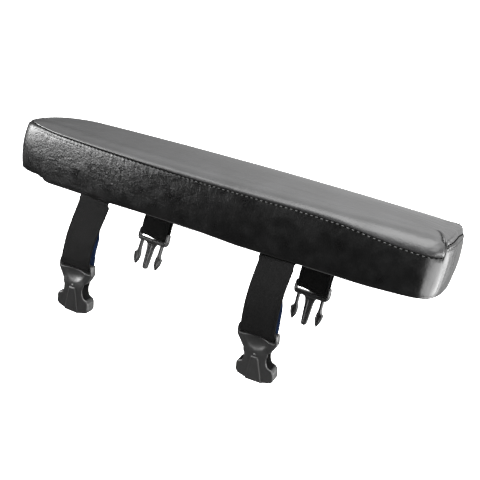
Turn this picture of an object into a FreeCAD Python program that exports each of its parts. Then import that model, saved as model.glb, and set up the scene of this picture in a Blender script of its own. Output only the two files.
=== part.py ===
"""Strap-on chair armrest pad.

A long upholstered pad: plywood board, foam core, soft comfort foam and a
leatherette cover of a domed top panel sewn to a side band that wraps under
the board.  Four webbing straps leave the underside at the long edges.  The
two straps at the front edge carry the socket halves of side-release buckles,
the two at the rear edge carry the plug halves.

Frame: millimetres, +Z up, +X along the pad towards the end with the gathered
cover corner, +Y towards the edge with the short straps.  The origin is the
centre of the underside face that rests on the chair's arm.
"""
import FreeCAD, Part
import os
import math
import Sketcher

V = FreeCAD.Vector
doc = FreeCAD.newDocument("armrest_pad")

# ---------------------------------------------------------------- sheet
DIMS = [
    ("pad_length", 325.7), ("pad_width", 96.0), ("waist_ratio", 0.28),
    ("end_left", 24.9), ("pow_left", 3.2), ("root_left", 2.3),
    ("end_right", 22.4), ("pow_right", 4.2), ("root_right", 3.4),
    ("cloth_thick", 0.5), ("cloth_inset", 7.0),
    ("band_bottom", 2.6), ("hem_thick", 1.0), ("hem_width", 20.0),
    ("cover_thick", 1.2), ("seam_height", 35.6), ("dome_radius", 12.3),
    ("crown_rise", 3.0), ("pad_height", 45.2),
    ("board_bottom", 3.7), ("board_thick", 8.0),
    ("core_bottom", 11.8), ("core_top", 28.0), ("foam_gap", 0.1),
    ("web_width", 24.5), ("web_thick", 1.3),
    ("front_left_x", -76.2), ("front_right_x", 65.2),
    ("rear_left_x", -75.6), ("rear_right_x", 66.0),
    ("tab_bottom", 1.2), ("tab_length", 34.0), ("tab_end", 43.8),
    ("fold_offset", 44.6), ("fold_height", 0.6),
    ("bar_radius", 2.0), ("bar_clear", 0.1),
    ("front_left_out", -52.4), ("front_left_down", -44.9), ("front_left_tilt", 8.0),
    ("front_right_out", -47.6), ("front_right_down", -46.0), ("front_right_tilt", 14.0),
    ("rear_left_out", 44.8), ("rear_left_down", -36.9), ("rear_left_tilt", -12.0),
    ("rear_right_out", 45.0), ("rear_right_down", -36.2), ("rear_right_tilt", -4.0),
    ("frame_thick", 6.4), ("socket_thick", 9.2), ("cavity_thick", 6.4),
    ("slot_width", 25.0),
    ("guide_thick", 3.6), ("prong_thick", 4.4),
    ("prong_offset", 9.7), ("prong_pivot", -9.6), ("stem_width", 2.2),
    ("key_rise", 0.9), ("staple_wire", 0.6), ("staple_crown", 10.0),
    ("staple_leg", 7.0),
]
sheet = doc.addObject("Spreadsheet::Sheet", "dims")
for i, (name, value) in enumerate(DIMS, 1):
    sheet.set("A%d" % i, name)
    sheet.set("B%d" % i, repr(float(value)))
    sheet.setAlias("B%d" % i, name)
doc.recompute()


def dim(name):
    return float(getattr(sheet, name))


HALF = dim("pad_length") / 2
PARTS = []


def keep(obj, label):
    obj.Label = label
    PARTS.append(obj)
    return obj


# ---------------------------------------------------------------- outline
def stations():
    ends = [0.5 * (1 - math.cos(math.pi / 2 * k / 9)) for k in range(10)]
    left = [-1 + e for e in ends]
    mid = [-0.5 + k / 8.0 for k in range(1, 8)]
    right = [1 - e for e in reversed(ends)]
    return left + mid + right


def half_width(x):
    b = dim("pad_width") / 2 * (1 - dim("waist_ratio") * (x / HALF) ** 2)
    ul = min(max((-x - (HALF - dim("end_left"))) / dim("end_left"), 0), 1)
    ur = min(max((x - (HALF - dim("end_right"))) / dim("end_right"), 0), 1)
    b *= max(1 - ul ** dim("pow_left"), 0) ** (1 / dim("root_left"))
    b *= max(1 - ur ** dim("pow_right"), 0) ** (1 / dim("root_right"))
    return b


def ring_wire(inset, z, shrink_x=1.0, shrink_y=1.0):
    """Closed smooth plan outline, set in by a distance and scaled about the centre."""
    near, far = [], []
    for s in stations():
        x = s * HALF
        b = half_width(x)
        b = max(b - inset * min(1, b / 20.0), 0)
        px = x * (HALF - inset) / HALF * shrink_x
        near.append(V(px, -b * shrink_y, z))
        far.append(V(px, b * shrink_y, z))
    pts = near[:-1] + [V(near[-1].x, 0, z)] + list(reversed(far[1:-1]))
    pts[0] = V(near[0].x, 0, z)
    curve = Part.BSplineCurve()
    curve.interpolate(Points=pts, PeriodicFlag=True)
    return Part.Wire([curve.toShape()])


def outline(name, inset):
    obj = doc.addObject("Part::Feature", name)
    obj.Shape = ring_wire(inset, 0)
    return obj


def raise_outline(name, base, low, height):
    """Straight-sided solid on an outline, from height low, bound to the sheet."""
    ext = doc.addObject("Part::Extrusion", name)
    ext.Base = base
    ext.DirMode = "Custom"
    ext.Dir = V(0, 0, 1)
    ext.Solid = True
    ext.setExpression("LengthFwd", height)
    ext.setExpression("Placement.Base.z", low)
    return ext


def cut(name, a, b):
    obj = doc.addObject("Part::Cut", name)
    obj.Base = a
    obj.Tool = b
    return obj


def fuse(name, a, b):
    obj = doc.addObject("Part::Fuse", name)
    obj.Base = a
    obj.Tool = b
    return obj


# ---------------------------------------------------------------- board and foam
skin = dim("cover_thick")
gap = dim("foam_gap")
out_0 = outline("outline_cover", 0.0)
out_1 = outline("outline_lining", skin)
out_2 = outline("outline_filling", skin + gap)
out_3 = doc.addObject("Part::Feature", "outline_hem")
out_3.Shape = ring_wire(0.0, 0, 1 - dim("hem_width") / HALF,
                        1 - 2 * dim("hem_width") / dim("pad_width"))
out_4 = outline("outline_cloth", dim("cloth_inset"))

board = keep(raise_outline("board", out_2, "dims.board_bottom", "dims.board_thick"),
             "base_board")
core = keep(raise_outline("core", out_2, "dims.core_bottom",
                          "dims.core_top - dims.core_bottom"), "foam_core")

# ---------------------------------------------------------------- cover
wall_out = raise_outline("wall_out", out_0, "dims.band_bottom",
                         "dims.seam_height - dims.band_bottom")
wall_in = raise_outline("wall_in", out_1, "dims.band_bottom + dims.hem_thick",
                        "dims.seam_height - dims.band_bottom")
wall = cut("wall", wall_out, wall_in)
hem_hole = raise_outline("hem_hole", out_3, "dims.band_bottom - 1", "dims.hem_thick + 2")
keep(cut("side_band", wall, hem_hole), "cover_side_band")

cloth = keep(raise_outline("cloth", out_4, "0", "dims.cloth_thick"), "underside_cloth")


def dome(name, inset, drop, low):
    """Domed top: rounded edge of the cover, then the crown, as a loft of plan outlines."""
    r = dim("dome_radius")
    seam, top = dim("seam_height"), dim("pad_height")
    shoulder = top - dim("crown_rise")
    rings = []
    if low < seam - 0.01:
        rings.append(ring_wire(inset, low))
    for k in range(0, 7):
        a = k / 6.0 * math.pi / 2
        z = seam + (shoulder - seam) * math.sin(a) - drop * math.sin(a)
        rings.append(ring_wire(inset + (r - inset) * (1 - math.cos(a)), z))
    for k in (0.3, 0.6, 0.88):
        z = shoulder - drop + dim("crown_rise") * (1 - (1 - k) ** 2)
        rings.append(ring_wire(r, z, 1 - 0.3 * k, 1 - 0.85 * k))
    feats = []
    for n, w in enumerate(rings):
        f = doc.addObject("Part::Feature", "%s_ring_%d" % (name, n))
        f.Shape = w
        feats.append(f)
    loft = doc.addObject("Part::Loft", name)
    loft.Sections = feats
    loft.Solid = True
    loft.Ruled = True
    return loft


panel_out = dome("panel_out", 0.0, 0.0, dim("seam_height"))
panel_in = dome("panel_in", skin, skin, dim("seam_height"))
keep(cut("top_panel", panel_out, panel_in), "cover_top_panel")
keep(dome("comfort", skin + gap, skin + gap, dim("core_top") + gap), "comfort_foam")

# the line of thread that shows along the seam between top panel and side band
thread_out = doc.addObject("Part::Feature", "outline_thread")
thread_out.Shape = ring_wire(-0.45, 0)
thread_in = doc.addObject("Part::Feature", "outline_thread_in")
thread_in.Shape = ring_wire(-0.05, 0)
th_out = raise_outline("thread_out", thread_out, "dims.seam_height - 1.8", "0.8")
th_in = raise_outline("thread_in", thread_in, "dims.seam_height - 2.8", "2.8")
keep(cut("thread", th_out, th_in), "seam_thread")

# ---------------------------------------------------------------- strap tabs
STRAPS = [
    ("front_left", "front_left_x", -1),
    ("front_right", "front_right_x", -1),
    ("rear_left", "rear_left_x", 1),
    ("rear_right", "rear_right_x", 1),
]
for name, xs, side in STRAPS:
    tab = doc.addObject("Part::Box", name + "_tab_box")
    tab.setExpression("Length", "dims.web_width")
    tab.setExpression("Width", "dims.tab_length")
    tab.setExpression("Height", "dims.web_thick")
    tab.setExpression("Placement.Base.x", "dims.%s - dims.web_width / 2" % xs)
    if side < 0:
        tab.setExpression("Placement.Base.y", "-dims.tab_end")
    else:
        tab.setExpression("Placement.Base.y", "dims.tab_end - dims.tab_length")
    tab.setExpression("Placement.Base.z", "dims.tab_bottom")
    keep(tab, name + "_tab")


# ---------------------------------------------------------------- staples
def staple(x, y, turn, z_crown):
    """Upholstery staple: flat crown under the layer, two legs up into the board."""
    w, c, leg = dim("staple_wire"), dim("staple_crown"), dim("staple_leg")
    crown = Part.makeBox(c, 1.2, w, V(-c / 2, -0.6, z_crown))
    one = Part.makeBox(w, 1.2, leg, V(-c / 2, -0.6, z_crown))
    two = Part.makeBox(w, 1.2, leg, V(c / 2 - w, -0.6, z_crown))
    s = crown.fuse([one, two]).removeSplitter()
    s.rotate(V(0, 0, 0), V(0, 0, 1), turn)
    s.translate(V(x, y, 0))
    return s


hem_staples = []
z_hem = dim("band_bottom") - dim("staple_wire") - 0.02
tabs_x = [dim(row[1]) for row in STRAPS]
for side in (-1, 1):
    for k in range(13):
        x = -138 + 23.0 * k
        if min(abs(x - t) for t in tabs_x) < dim("web_width") / 2 + 7:
            continue
        hem_staples.append(staple(x, side * (half_width(x) - 13), 0, z_hem))
for sx in (-1, 1):
    for y in (-17, 0, 17):
        hem_staples.append(staple(sx * (HALF - 13), y, 90, z_hem))
group = doc.addObject("Part::Feature", "hem_staples_group")
group.Shape = Part.Compound(hem_staples)
keep(group, "hem_staples")

strap_staples = []
z_tab = dim("tab_bottom") - dim("staple_wire") - 0.02
for name, xs, side in STRAPS:
    for y in (18.0, 25.0, 32.0):
        strap_staples.append(staple(dim(xs), side * y, 0, z_tab))
group = doc.addObject("Part::Feature", "strap_staples_group")
group.Shape = Part.Compound(strap_staples)
keep(group, "strap_staples")


# ---------------------------------------------------------------- straps
def smooth(points, steps):
    """Points on a Catmull-Rom curve through (y, z) points."""
    out = []
    p = [points[0]] + list(points) + [points[-1]]
    for i in range(1, len(p) - 2):
        for k in range(steps):
            u = k / float(steps)
            q = []
            for c in (0, 1):
                a, b, d, e = p[i - 1][c], p[i][c], p[i + 1][c], p[i + 2][c]
                q.append(0.5 * (2 * b + (d - a) * u + (2 * a - 5 * b + 4 * d - e) * u * u
                                + (3 * b - a - 3 * d + e) * u ** 3))
            out.append(tuple(q))
    out.append(tuple(points[-1]))
    return out


def band(path, thick, width, x_mid, round_start=False):
    """A flat band of webbing: the path thickened to both sides and made width wide."""
    left, right = [], []
    n = len(path)
    for i in range(n):
        a = path[max(i - 1, 0)]
        b = path[min(i + 1, n - 1)]
        ty, tz = b[0] - a[0], b[1] - a[1]
        length = math.hypot(ty, tz)
        ny, nz = -tz / length, ty / length
        left.append(V(0, path[i][0] + ny * thick / 2, path[i][1] + nz * thick / 2))
        right.append(V(0, path[i][0] - ny * thick / 2, path[i][1] - nz * thick / 2))

    def edge(pts):
        c = Part.BSplineCurve()
        c.interpolate(Points=pts)
        return c.toShape()

    if round_start:
        a, b = path[0], path[1]
        length = math.hypot(b[0] - a[0], b[1] - a[1])
        back = V(0, a[0] - (b[0] - a[0]) / length * thick / 2,
                 a[1] - (b[1] - a[1]) / length * thick / 2)
        cap = Part.Arc(right[0], back, left[0]).toShape()
    else:
        cap = Part.LineSegment(right[0], left[0]).toShape()
    tail = Part.LineSegment(left[-1], right[-1]).toShape()
    wire = Part.Wire([edge(left), tail, edge(list(reversed(right))), cap])
    solid = Part.Face(wire).extrude(V(width, 0, 0))
    solid.translate(V(x_mid - width / 2, 0, 0))
    return solid


def strap_paths(bar_y, bar_z, tilt, bow):
    """Outer layer from the fold at the pad's edge to the bar, and the return layer.

    Worked in a mirrored frame where out from the pad is negative y, and a
    positive tilt turns the hanging buckle's free end in under the pad."""
    web = dim("web_thick")
    r = dim("bar_radius") + dim("bar_clear") + web / 2
    fy, fz = -dim("fold_offset"), dim("fold_height")
    by, bz = -abs(bar_y), bar_z
    up = (-math.sin(tilt), math.cos(tilt))
    side = (math.cos(tilt), math.sin(tilt))

    def near_bar(across, along):
        return (by + side[0] * across + up[0] * along, bz + side[1] * across + up[1] * along)

    meet = near_bar(-r, 5.0)
    drop = fz - meet[1]
    lean = meet[0] - fy
    front = [(fy, fz),
             (fy + lean * (0.10 + bow), fz - 0.20 * drop),
             (fy + lean * (0.36 + 1.2 * bow), fz - 0.42 * drop),
             (fy + lean * (0.72 + bow), fz - 0.70 * drop),
             meet]
    path = smooth(front + [near_bar(-r, 0)], 4)[:-1]
    wrap = []
    for k in range(0, 13):
        a = math.pi + k / 12.0 * math.pi + tilt
        wrap.append((by + r * math.cos(a), bz + r * math.sin(a)))
    # the sewn end of the return layer lies on the inside of the outer layer
    line = smooth(front, 4)
    sew = [(line[k][0] + web * 0.95, line[k][1] - 0.3) for k in (5, 8)]
    b0, b1 = near_bar(r + 0.9, 6.0), near_bar(r + 1.2, 12.0)
    b2 = (0.5 * (b1[0] + sew[1][0]) + 1.2, 0.5 * (b1[1] + sew[1][1]))
    back = smooth([near_bar(r, 0), b0, b1, b2, sew[1], sew[0]], 4)
    return path, wrap, back


for name, xs, side in STRAPS:
    tilt = math.radians(dim(name + "_tilt")) * (1 if side < 0 else -1)
    bow = 0.14 if side < 0 else 0.55
    path, wrap, back = strap_paths(dim(name + "_out"), dim(name + "_down"), tilt, bow)
    web, wide, x0 = dim("web_thick"), dim("web_width"), dim(xs)
    outer = band(path + wrap[:7], web, wide, x0, round_start=True)
    inner = band(wrap[6:] + back[1:], web, wide, x0)
    solid = outer.fuse(inner).removeSplitter()
    if side > 0:
        solid = solid.mirror(V(0, 0, 0), V(0, 1, 0))
    obj = doc.addObject("Part::Feature", name + "_webbing")
    obj.Shape = solid
    keep(obj, name + "_strap")


# ---------------------------------------------------------------- buckles
def plane(body, role):
    for f in body.Origin.OriginFeatures:
        if f.Role == role:
            return f


def sketch(body, name, role, outlines):
    """Sketch of closed polygons; coordinates are the plane's own."""
    sk = body.newObject("Sketcher::SketchObject", name)
    sk.AttachmentSupport = [(plane(body, role), "")]
    sk.MapMode = "FlatFace"
    for pts in outlines:
        n = len(pts)
        first = sk.GeometryCount
        for i in range(n):
            a, b = pts[i], pts[(i + 1) % n]
            sk.addGeometry(Part.LineSegment(V(a[0], a[1], 0), V(b[0], b[1], 0)), False)
        for i in range(n):
            sk.addConstraint(Sketcher.Constraint("Coincident", first + i, 2,
                                                 first + (i + 1) % n, 1))
    return sk


def pad(body, name, sk, length):
    f = body.newObject("PartDesign::Pad", name)
    f.Profile = sk
    if "SideType" in f.PropertiesList:
        f.SideType = "Symmetric"
    else:
        f.Midplane = True
    f.setExpression("Length", length)
    return f


def pocket(body, name, sk, length):
    f = body.newObject("PartDesign::Pocket", name)
    f.Profile = sk
    if "SideType" in f.PropertiesList:
        f.SideType = "Symmetric"
    else:
        f.Midplane = True
    f.setExpression("Length", length)
    return f


def mirror(points):
    return points + [(-x, z) for x, z in reversed(points)]


def bar(body):
    """Round bar that the webbing turns on, across the frame."""
    sk = body.newObject("Sketcher::SketchObject", "bar_section")
    sk.AttachmentSupport = [(plane(body, "YZ_Plane"), "")]
    sk.MapMode = "FlatFace"
    sk.addGeometry(Part.Circle(V(0, 0, 0), V(0, 0, 1), dim("bar_radius")), False)
    c = sk.addConstraint(Sketcher.Constraint("Radius", 0, dim("bar_radius")))
    sk.setExpression("Constraints[%d]" % c, "dims.bar_radius")
    sk.addConstraint(Sketcher.Constraint("Coincident", 0, 3, -1, 1))
    return pad(body, "bar", sk, "dims.slot_width + 2")


def place(body, xs, where):
    """Puts a buckle piece on its strap's bar, hanging at its tilt about the bar."""
    body.Placement = FreeCAD.Placement(V(0, 0, 0),
                                       FreeCAD.Rotation(V(1, 0, 0), dim(where + "_tilt")))
    body.setExpression("Placement.Base.x", "dims.%s" % xs)
    body.setExpression("Placement.Base.y", "dims.%s_out" % where)
    body.setExpression("Placement.Base.z", "dims.%s_down" % where)


def socket_body(name, xs, where):
    """Socket half: ears with the bar, waisted hollow housing with side windows."""
    body = doc.addObject("PartDesign::Body", name + "_body")
    frame = mirror([(12.6, 2.6), (13.7, 1.6), (14.3, -1.5), (14.3, -5.4), (12.4, -9.0),
                    (9.4, -13.0), (8.6, -16.0)])
    f1 = pad(body, "ears", sketch(body, "ears_outline", "XZ_Plane", [frame]),
             "dims.frame_thick")
    house = mirror([(11.6, -4.9), (12.4, -7.0), (11.0, -10.4), (8.9, -13.4), (8.3, -17.0),
                    (8.4, -20.5), (9.4, -23.0), (12.3, -24.4), (13.6, -26.4), (13.8, -32.2),
                    (12.3, -34.6), (6.5, -36.4)])
    f2 = pad(body, "housing", sketch(body, "housing_outline", "XZ_Plane", [house]),
             "dims.socket_thick")
    key = mirror([(2.3, -17.0), (2.9, -18.6), (6.0, -35.8)])
    f3 = pad(body, "key_panel", sketch(body, "key_outline", "XZ_Plane", [key]),
             "dims.socket_thick + 2 * dims.key_rise")
    slot = [(-12.5, 6.0), (12.5, 6.0), (12.5, -4.5), (-12.5, -4.5)]
    f4 = pocket(body, "web_slot", sketch(body, "slot_outline", "XZ_Plane", [slot]), "20")
    hollow = [(-11.2, -13.0), (11.2, -13.0), (11.2, -40.0), (-11.2, -40.0)]
    f5 = pocket(body, "mouth", sketch(body, "mouth_outline", "XZ_Plane", [hollow]),
                "dims.cavity_thick")
    last = bar(body)
    body.Tip = last
    place(body, xs, where)
    keep(body, name)
    return body


def plug_body(name, xs, where):
    """Plug half: ears with the bar, crossbar and the tapered centre guide."""
    body = doc.addObject("PartDesign::Body", name + "_body")
    frame = mirror([(12.8, 2.8), (13.9, 1.6), (14.3, -4.0), (13.7, -6.6), (12.2, -8.3)])
    pad(body, "ears", sketch(body, "ears_outline", "XZ_Plane", [frame]), "dims.frame_thick")
    slot = [(-12.5, 6.0), (12.5, 6.0), (12.5, -4.9), (-12.5, -4.9)]
    pocket(body, "web_slot", sketch(body, "slot_outline", "XZ_Plane", [slot]), "20")
    guide = mirror([(4.4, -7.9), (3.3, -10.8), (2.1, -29.4), (1.3, -30.6)])
    pad(body, "guide", sketch(body, "guide_outline", "XZ_Plane", [guide]),
        "dims.guide_thick")
    last = bar(body)
    body.Tip = last
    place(body, xs, where)
    keep(body, name)
    return body


def prong_body(name, xs, where, hand):
    """Side prong: slim stem with a barbed arrow head; its root is round about the flexing line."""
    body = doc.addObject("PartDesign::Body", name + "_body")
    c, r, z0 = dim("prong_offset"), dim("stem_width") / 2, dim("prong_pivot")
    pts = [(c - r, z0), (c - r, -16.5), (7.9, -18.8), (7.5, -22.1), (8.3, -25.8),
           (9.8, -28.9), (11.0, -27.3), (12.3, -23.5), (13.0, -19.8), (12.8, -18.7),
           (11.2, -17.8), (c + r, -16.3), (c + r, z0)]
    pts = [(hand * x, z) for x, z in pts]
    sk = body.newObject("Sketcher::SketchObject", "prong_outline")
    sk.AttachmentSupport = [(plane(body, "XZ_Plane"), "")]
    sk.MapMode = "FlatFace"
    n = len(pts)
    for i in range(n - 1):
        a, b = pts[i], pts[i + 1]
        sk.addGeometry(Part.LineSegment(V(a[0], a[1], 0), V(b[0], b[1], 0)), False)
    arc = Part.Arc(V(pts[-1][0], z0, 0), V(hand * c, z0 + r, 0), V(pts[0][0], z0, 0))
    sk.addGeometry(arc, False)
    pad(body, "prong", sk, "dims.prong_thick")
    place(body, xs, where)
    keep(body, name)
    return body


socket_body("front_left_socket", "front_left_x", "front_left")
socket_body("front_right_socket", "front_right_x", "front_right")
for where, xs in (("rear_left", "rear_left_x"), ("rear_right", "rear_right_x")):
    plug_body(where + "_plug", xs, where)
    prong_body(where + "_prong_a", xs, where, -1)
    prong_body(where + "_prong_b", xs, where, 1)

# ---------------------------------------------------------------- finish
doc.recompute()
bad = [o.Name for o in doc.Objects if "Invalid" in o.State or "Error" in o.State]
if bad:
    raise RuntimeError("failed objects: %s" % bad)
os.makedirs("parts", exist_ok=True)
for obj in PARTS:
    shape = obj.Shape
    if shape.isNull() or not shape.isValid() or shape.Volume <= 0:
        raise RuntimeError("bad shape: %s" % obj.Label)
    print("%-22s solids %2d volume %9.1f box z %.2f..%.2f y %.2f..%.2f x %.2f..%.2f" % (
        obj.Label, len(shape.Solids), shape.Volume, shape.BoundBox.ZMin, shape.BoundBox.ZMax,
        shape.BoundBox.YMin, shape.BoundBox.YMax, shape.BoundBox.XMin, shape.BoundBox.XMax))
for obj in PARTS:
    obj.Shape.exportStep("parts/%s.step" % obj.Label)
print("wrote", len(PARTS), "parts")
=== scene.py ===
import bpy
import math
import numpy as np
from mathutils import Matrix, Vector


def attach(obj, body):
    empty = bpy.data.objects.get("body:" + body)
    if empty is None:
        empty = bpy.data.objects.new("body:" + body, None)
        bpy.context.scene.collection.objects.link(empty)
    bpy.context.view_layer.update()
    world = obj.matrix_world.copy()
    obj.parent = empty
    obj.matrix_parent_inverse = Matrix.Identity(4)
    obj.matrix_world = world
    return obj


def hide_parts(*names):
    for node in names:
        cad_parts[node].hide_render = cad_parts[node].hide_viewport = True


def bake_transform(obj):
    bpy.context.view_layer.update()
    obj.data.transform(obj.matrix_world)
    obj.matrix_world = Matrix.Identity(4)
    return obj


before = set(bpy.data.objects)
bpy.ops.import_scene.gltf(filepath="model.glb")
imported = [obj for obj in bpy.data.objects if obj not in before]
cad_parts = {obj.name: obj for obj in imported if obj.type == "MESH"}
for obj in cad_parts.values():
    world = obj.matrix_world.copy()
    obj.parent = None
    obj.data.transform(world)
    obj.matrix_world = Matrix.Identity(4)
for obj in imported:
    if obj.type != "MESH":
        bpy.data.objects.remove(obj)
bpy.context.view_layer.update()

MM = 0.001
HALF = 162.85          # half the pad's length
WALL_TOP = 35.6        # where the rounded shoulder starts
SHOULDER = 12.3        # how far the shoulder runs in
RISE = 6.6             # and how far it climbs
CROWN = 3.0            # crown above the shoulder
BOTTOM = 2.6           # underside of the turned-under hem

N = 1440               # stations round the pad
COARSE = 10            # one cloth station per this many


# ------------------------------------------------------------------ small tools
def smoothstep(a, b, x):
    t = np.clip((np.asarray(x, float) - a) / (b - a), 0, 1)
    return t * t * (3 - 2 * t)


_perm = np.random.RandomState(20).permutation(512)


def noise(x, y, seed=0):
    """Gradient noise, about -0.7 to 0.7."""
    x, y = np.broadcast_arrays(np.asarray(x, float), np.asarray(y, float))
    xi, yi = np.floor(x).astype(int), np.floor(y).astype(int)
    fx, fy = x - xi, y - yi
    u = fx * fx * fx * (fx * (fx * 6 - 15) + 10)
    v = fy * fy * fy * (fy * (fy * 6 - 15) + 10)

    def corner(dx, dy):
        h = _perm[(_perm[(xi + dx + seed * 37) & 511] + yi + dy + seed * 101) & 511]
        a = h / 512.0 * 2 * math.pi
        return np.cos(a) * (fx - dx) + np.sin(a) * (fy - dy)

    a = corner(0, 0) * (1 - u) + corner(1, 0) * u
    b = corner(0, 1) * (1 - u) + corner(1, 1) * u
    return a * (1 - v) + b * v


def mesh_object(name, verts, faces, smooth=True, uv=None, mats=None):
    """Object from points in millimetres and an (n, 4) or (n, 3) array or list of faces."""
    me = bpy.data.meshes.new(name)
    verts = np.asarray(verts, np.float64) * MM
    if isinstance(faces, np.ndarray):
        k = faces.shape[1]
        me.vertices.add(len(verts))
        me.vertices.foreach_set("co", verts.astype(np.float32).ravel())
        me.loops.add(faces.size)
        me.loops.foreach_set("vertex_index", faces.astype(np.int32).ravel())
        me.polygons.add(len(faces))
        me.polygons.foreach_set("loop_start", np.arange(0, faces.size, k, dtype=np.int32))
        me.update(calc_edges=True)
    else:
        me.from_pydata([tuple(v) for v in verts], [], [tuple(f) for f in faces])
        me.update()
    if uv is not None:
        layer = me.uv_layers.new(name="UVMap")
        loops = np.zeros(len(me.loops), np.int32)
        me.loops.foreach_get("vertex_index", loops)
        layer.data.foreach_set("uv", np.asarray(uv, np.float32)[loops].ravel())
    if smooth:
        me.polygons.foreach_set("use_smooth", np.ones(len(me.polygons), bool))
    if mats is not None:
        me.polygons.foreach_set("material_index", np.asarray(mats, np.int32))
    me.update()
    ob = bpy.data.objects.new(name, me)
    bpy.context.scene.collection.objects.link(ob)
    return ob


def grid_normals(g, wrap=True):
    """Unit normals of an (n, m, 3) grid, closed along its first axis."""
    du = (np.roll(g, -1, 0) - np.roll(g, 1, 0)) if wrap else np.gradient(g, axis=0)
    dv = np.gradient(g, axis=1)
    n = np.cross(du, dv)
    length = np.linalg.norm(n, axis=2, keepdims=True)
    return n / np.maximum(length, 1e-9)


# ------------------------------------------------------------------ node materials
class Nodes:
    def __init__(self, name):
        self.mat = bpy.data.materials.new(name)
        self.mat.use_nodes = True
        self.tree = self.mat.node_tree
        self.bsdf = self.tree.nodes["Principled BSDF"]
        self.coord = self.tree.nodes.new("ShaderNodeTexCoord")

    def node(self, kind, **values):
        n = self.tree.nodes.new(kind)
        for k, v in values.items():
            setattr(n, k, v)
        return n

    def link(self, a, b):
        self.tree.links.new(a, b)

    def mapped(self, scale=(1, 1, 1), source="Object", rotation=(0, 0, 0)):
        m = self.node("ShaderNodeMapping")
        m.inputs["Scale"].default_value = scale
        m.inputs["Rotation"].default_value = rotation
        self.link(self.coord.outputs[source], m.inputs["Vector"])
        return m.outputs["Vector"]

    def noise(self, scale, vector=None, detail=4, rough=0.55, distortion=0.0):
        n = self.node("ShaderNodeTexNoise")
        n.inputs["Scale"].default_value = scale
        n.inputs["Detail"].default_value = detail
        n.inputs["Roughness"].default_value = rough
        n.inputs["Distortion"].default_value = distortion
        self.link(vector or self.coord.outputs["Object"], n.inputs["Vector"])
        return n.outputs["Fac"]

    def voronoi(self, scale, vector=None, feature="F1", randomness=1.0):
        n = self.node("ShaderNodeTexVoronoi", feature=feature)
        n.inputs["Scale"].default_value = scale
        n.inputs["Randomness"].default_value = randomness
        self.link(vector or self.coord.outputs["Object"], n.inputs["Vector"])
        return n.outputs["Distance"]

    def math(self, op, a, b=None, c=None):
        n = self.node("ShaderNodeMath", operation=op)
        for i, v in enumerate((a, b, c)):
            if v is None:
                continue
            if isinstance(v, (int, float)):
                n.inputs[i].default_value = v
            else:
                self.link(v, n.inputs[i])
        return n.outputs[0]

    def remap(self, fac, lo, hi, a=0.0, b=1.0):
        n = self.node("ShaderNodeMapRange")
        n.inputs["From Min"].default_value = a
        n.inputs["From Max"].default_value = b
        n.inputs["To Min"].default_value = lo
        n.inputs["To Max"].default_value = hi
        self.link(fac, n.inputs["Value"])
        return n.outputs[0]

    def ramp(self, fac, stops):
        n = self.node("ShaderNodeValToRGB")
        while len(n.color_ramp.elements) < len(stops):
            n.color_ramp.elements.new(0.5)
        for e, (pos, col) in zip(n.color_ramp.elements, stops):
            e.position = pos
            e.color = (*col, 1)
        self.link(fac, n.inputs["Fac"])
        return n.outputs["Color"]

    def bump(self, height, distance, strength=1.0, base=None):
        n = self.node("ShaderNodeBump")
        n.inputs["Distance"].default_value = distance
        n.inputs["Strength"].default_value = strength
        self.link(height, n.inputs["Height"])
        if base is not None:
            self.link(base, n.inputs["Normal"])
        return n.outputs["Normal"]

    def finish(self, color=None, rough=None, normal=None, **values):
        if color is not None:
            self.link(color, self.bsdf.inputs["Base Color"])
        if rough is not None:
            self.link(rough, self.bsdf.inputs["Roughness"])
        if normal is not None:
            self.link(normal, self.bsdf.inputs["Normal"])
        for k, v in values.items():
            self.bsdf.inputs[k.replace("_", " ")].default_value = v
        return self.mat


def grey(v, tint=(1, 1, 1)):
    return tuple(v * t for t in tint)


def leatherette(name, base, rough, grain, streaks):
    m = Nodes(name)
    tone = m.noise(38, detail=5)
    color = m.ramp(tone, [(0.25, grey(base * 0.72)), (0.75, grey(base * 1.3, (1, 1, 1.03)))])
    cells = m.voronoi(780, m.mapped((1, 1, 1)))
    fine = m.noise(2300, detail=3)
    soft = m.noise(150, detail=3)
    n = m.bump(soft, 0.0006, 0.35)
    n = m.bump(cells, 0.00022, grain, base=n)
    n = m.bump(fine, 0.00008, grain * 0.8, base=n)
    if streaks:
        along = m.mapped((9, 210, 210))
        lines = m.noise(1.0, along, detail=6, rough=0.62)
        n = m.bump(lines, 0.00035, 0.35, base=n)
        wide = m.noise(1.0, m.mapped((5, 55, 55)), detail=3)
        r = m.math("ADD", m.remap(lines, rough - 0.05, rough + 0.06, 0.3, 0.7),
                   m.remap(wide, -0.035, 0.035, 0.3, 0.7))
    else:
        # fine crinkles, plainest towards the left end
        place = m.node("ShaderNodeSeparateXYZ")
        m.link(m.coord.outputs["Object"], place.inputs[0])
        crinkle = m.noise(1.0, m.mapped((300, 300, 430)), detail=4, rough=0.6, distortion=1.4)
        there = m.math("MULTIPLY", m.remap(place.outputs["X"], 1.0, 0.20, -0.06, 0.05),
                       m.remap(place.outputs["X"], 0.35, 1.0, -0.160, -0.125))
        there = m.math("MULTIPLY", there, m.remap(place.outputs["Z"], 0.30, 1.0, 0.006, 0.019))
        n = m.bump(m.math("MULTIPLY", crinkle, there), 0.0006, 0.38, base=n)
        r = m.remap(m.noise(120, detail=5), rough - 0.06, rough + 0.07, 0.3, 0.7)
    return m.finish(color, r, n, Specular_IOR_Level=0.5)


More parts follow.
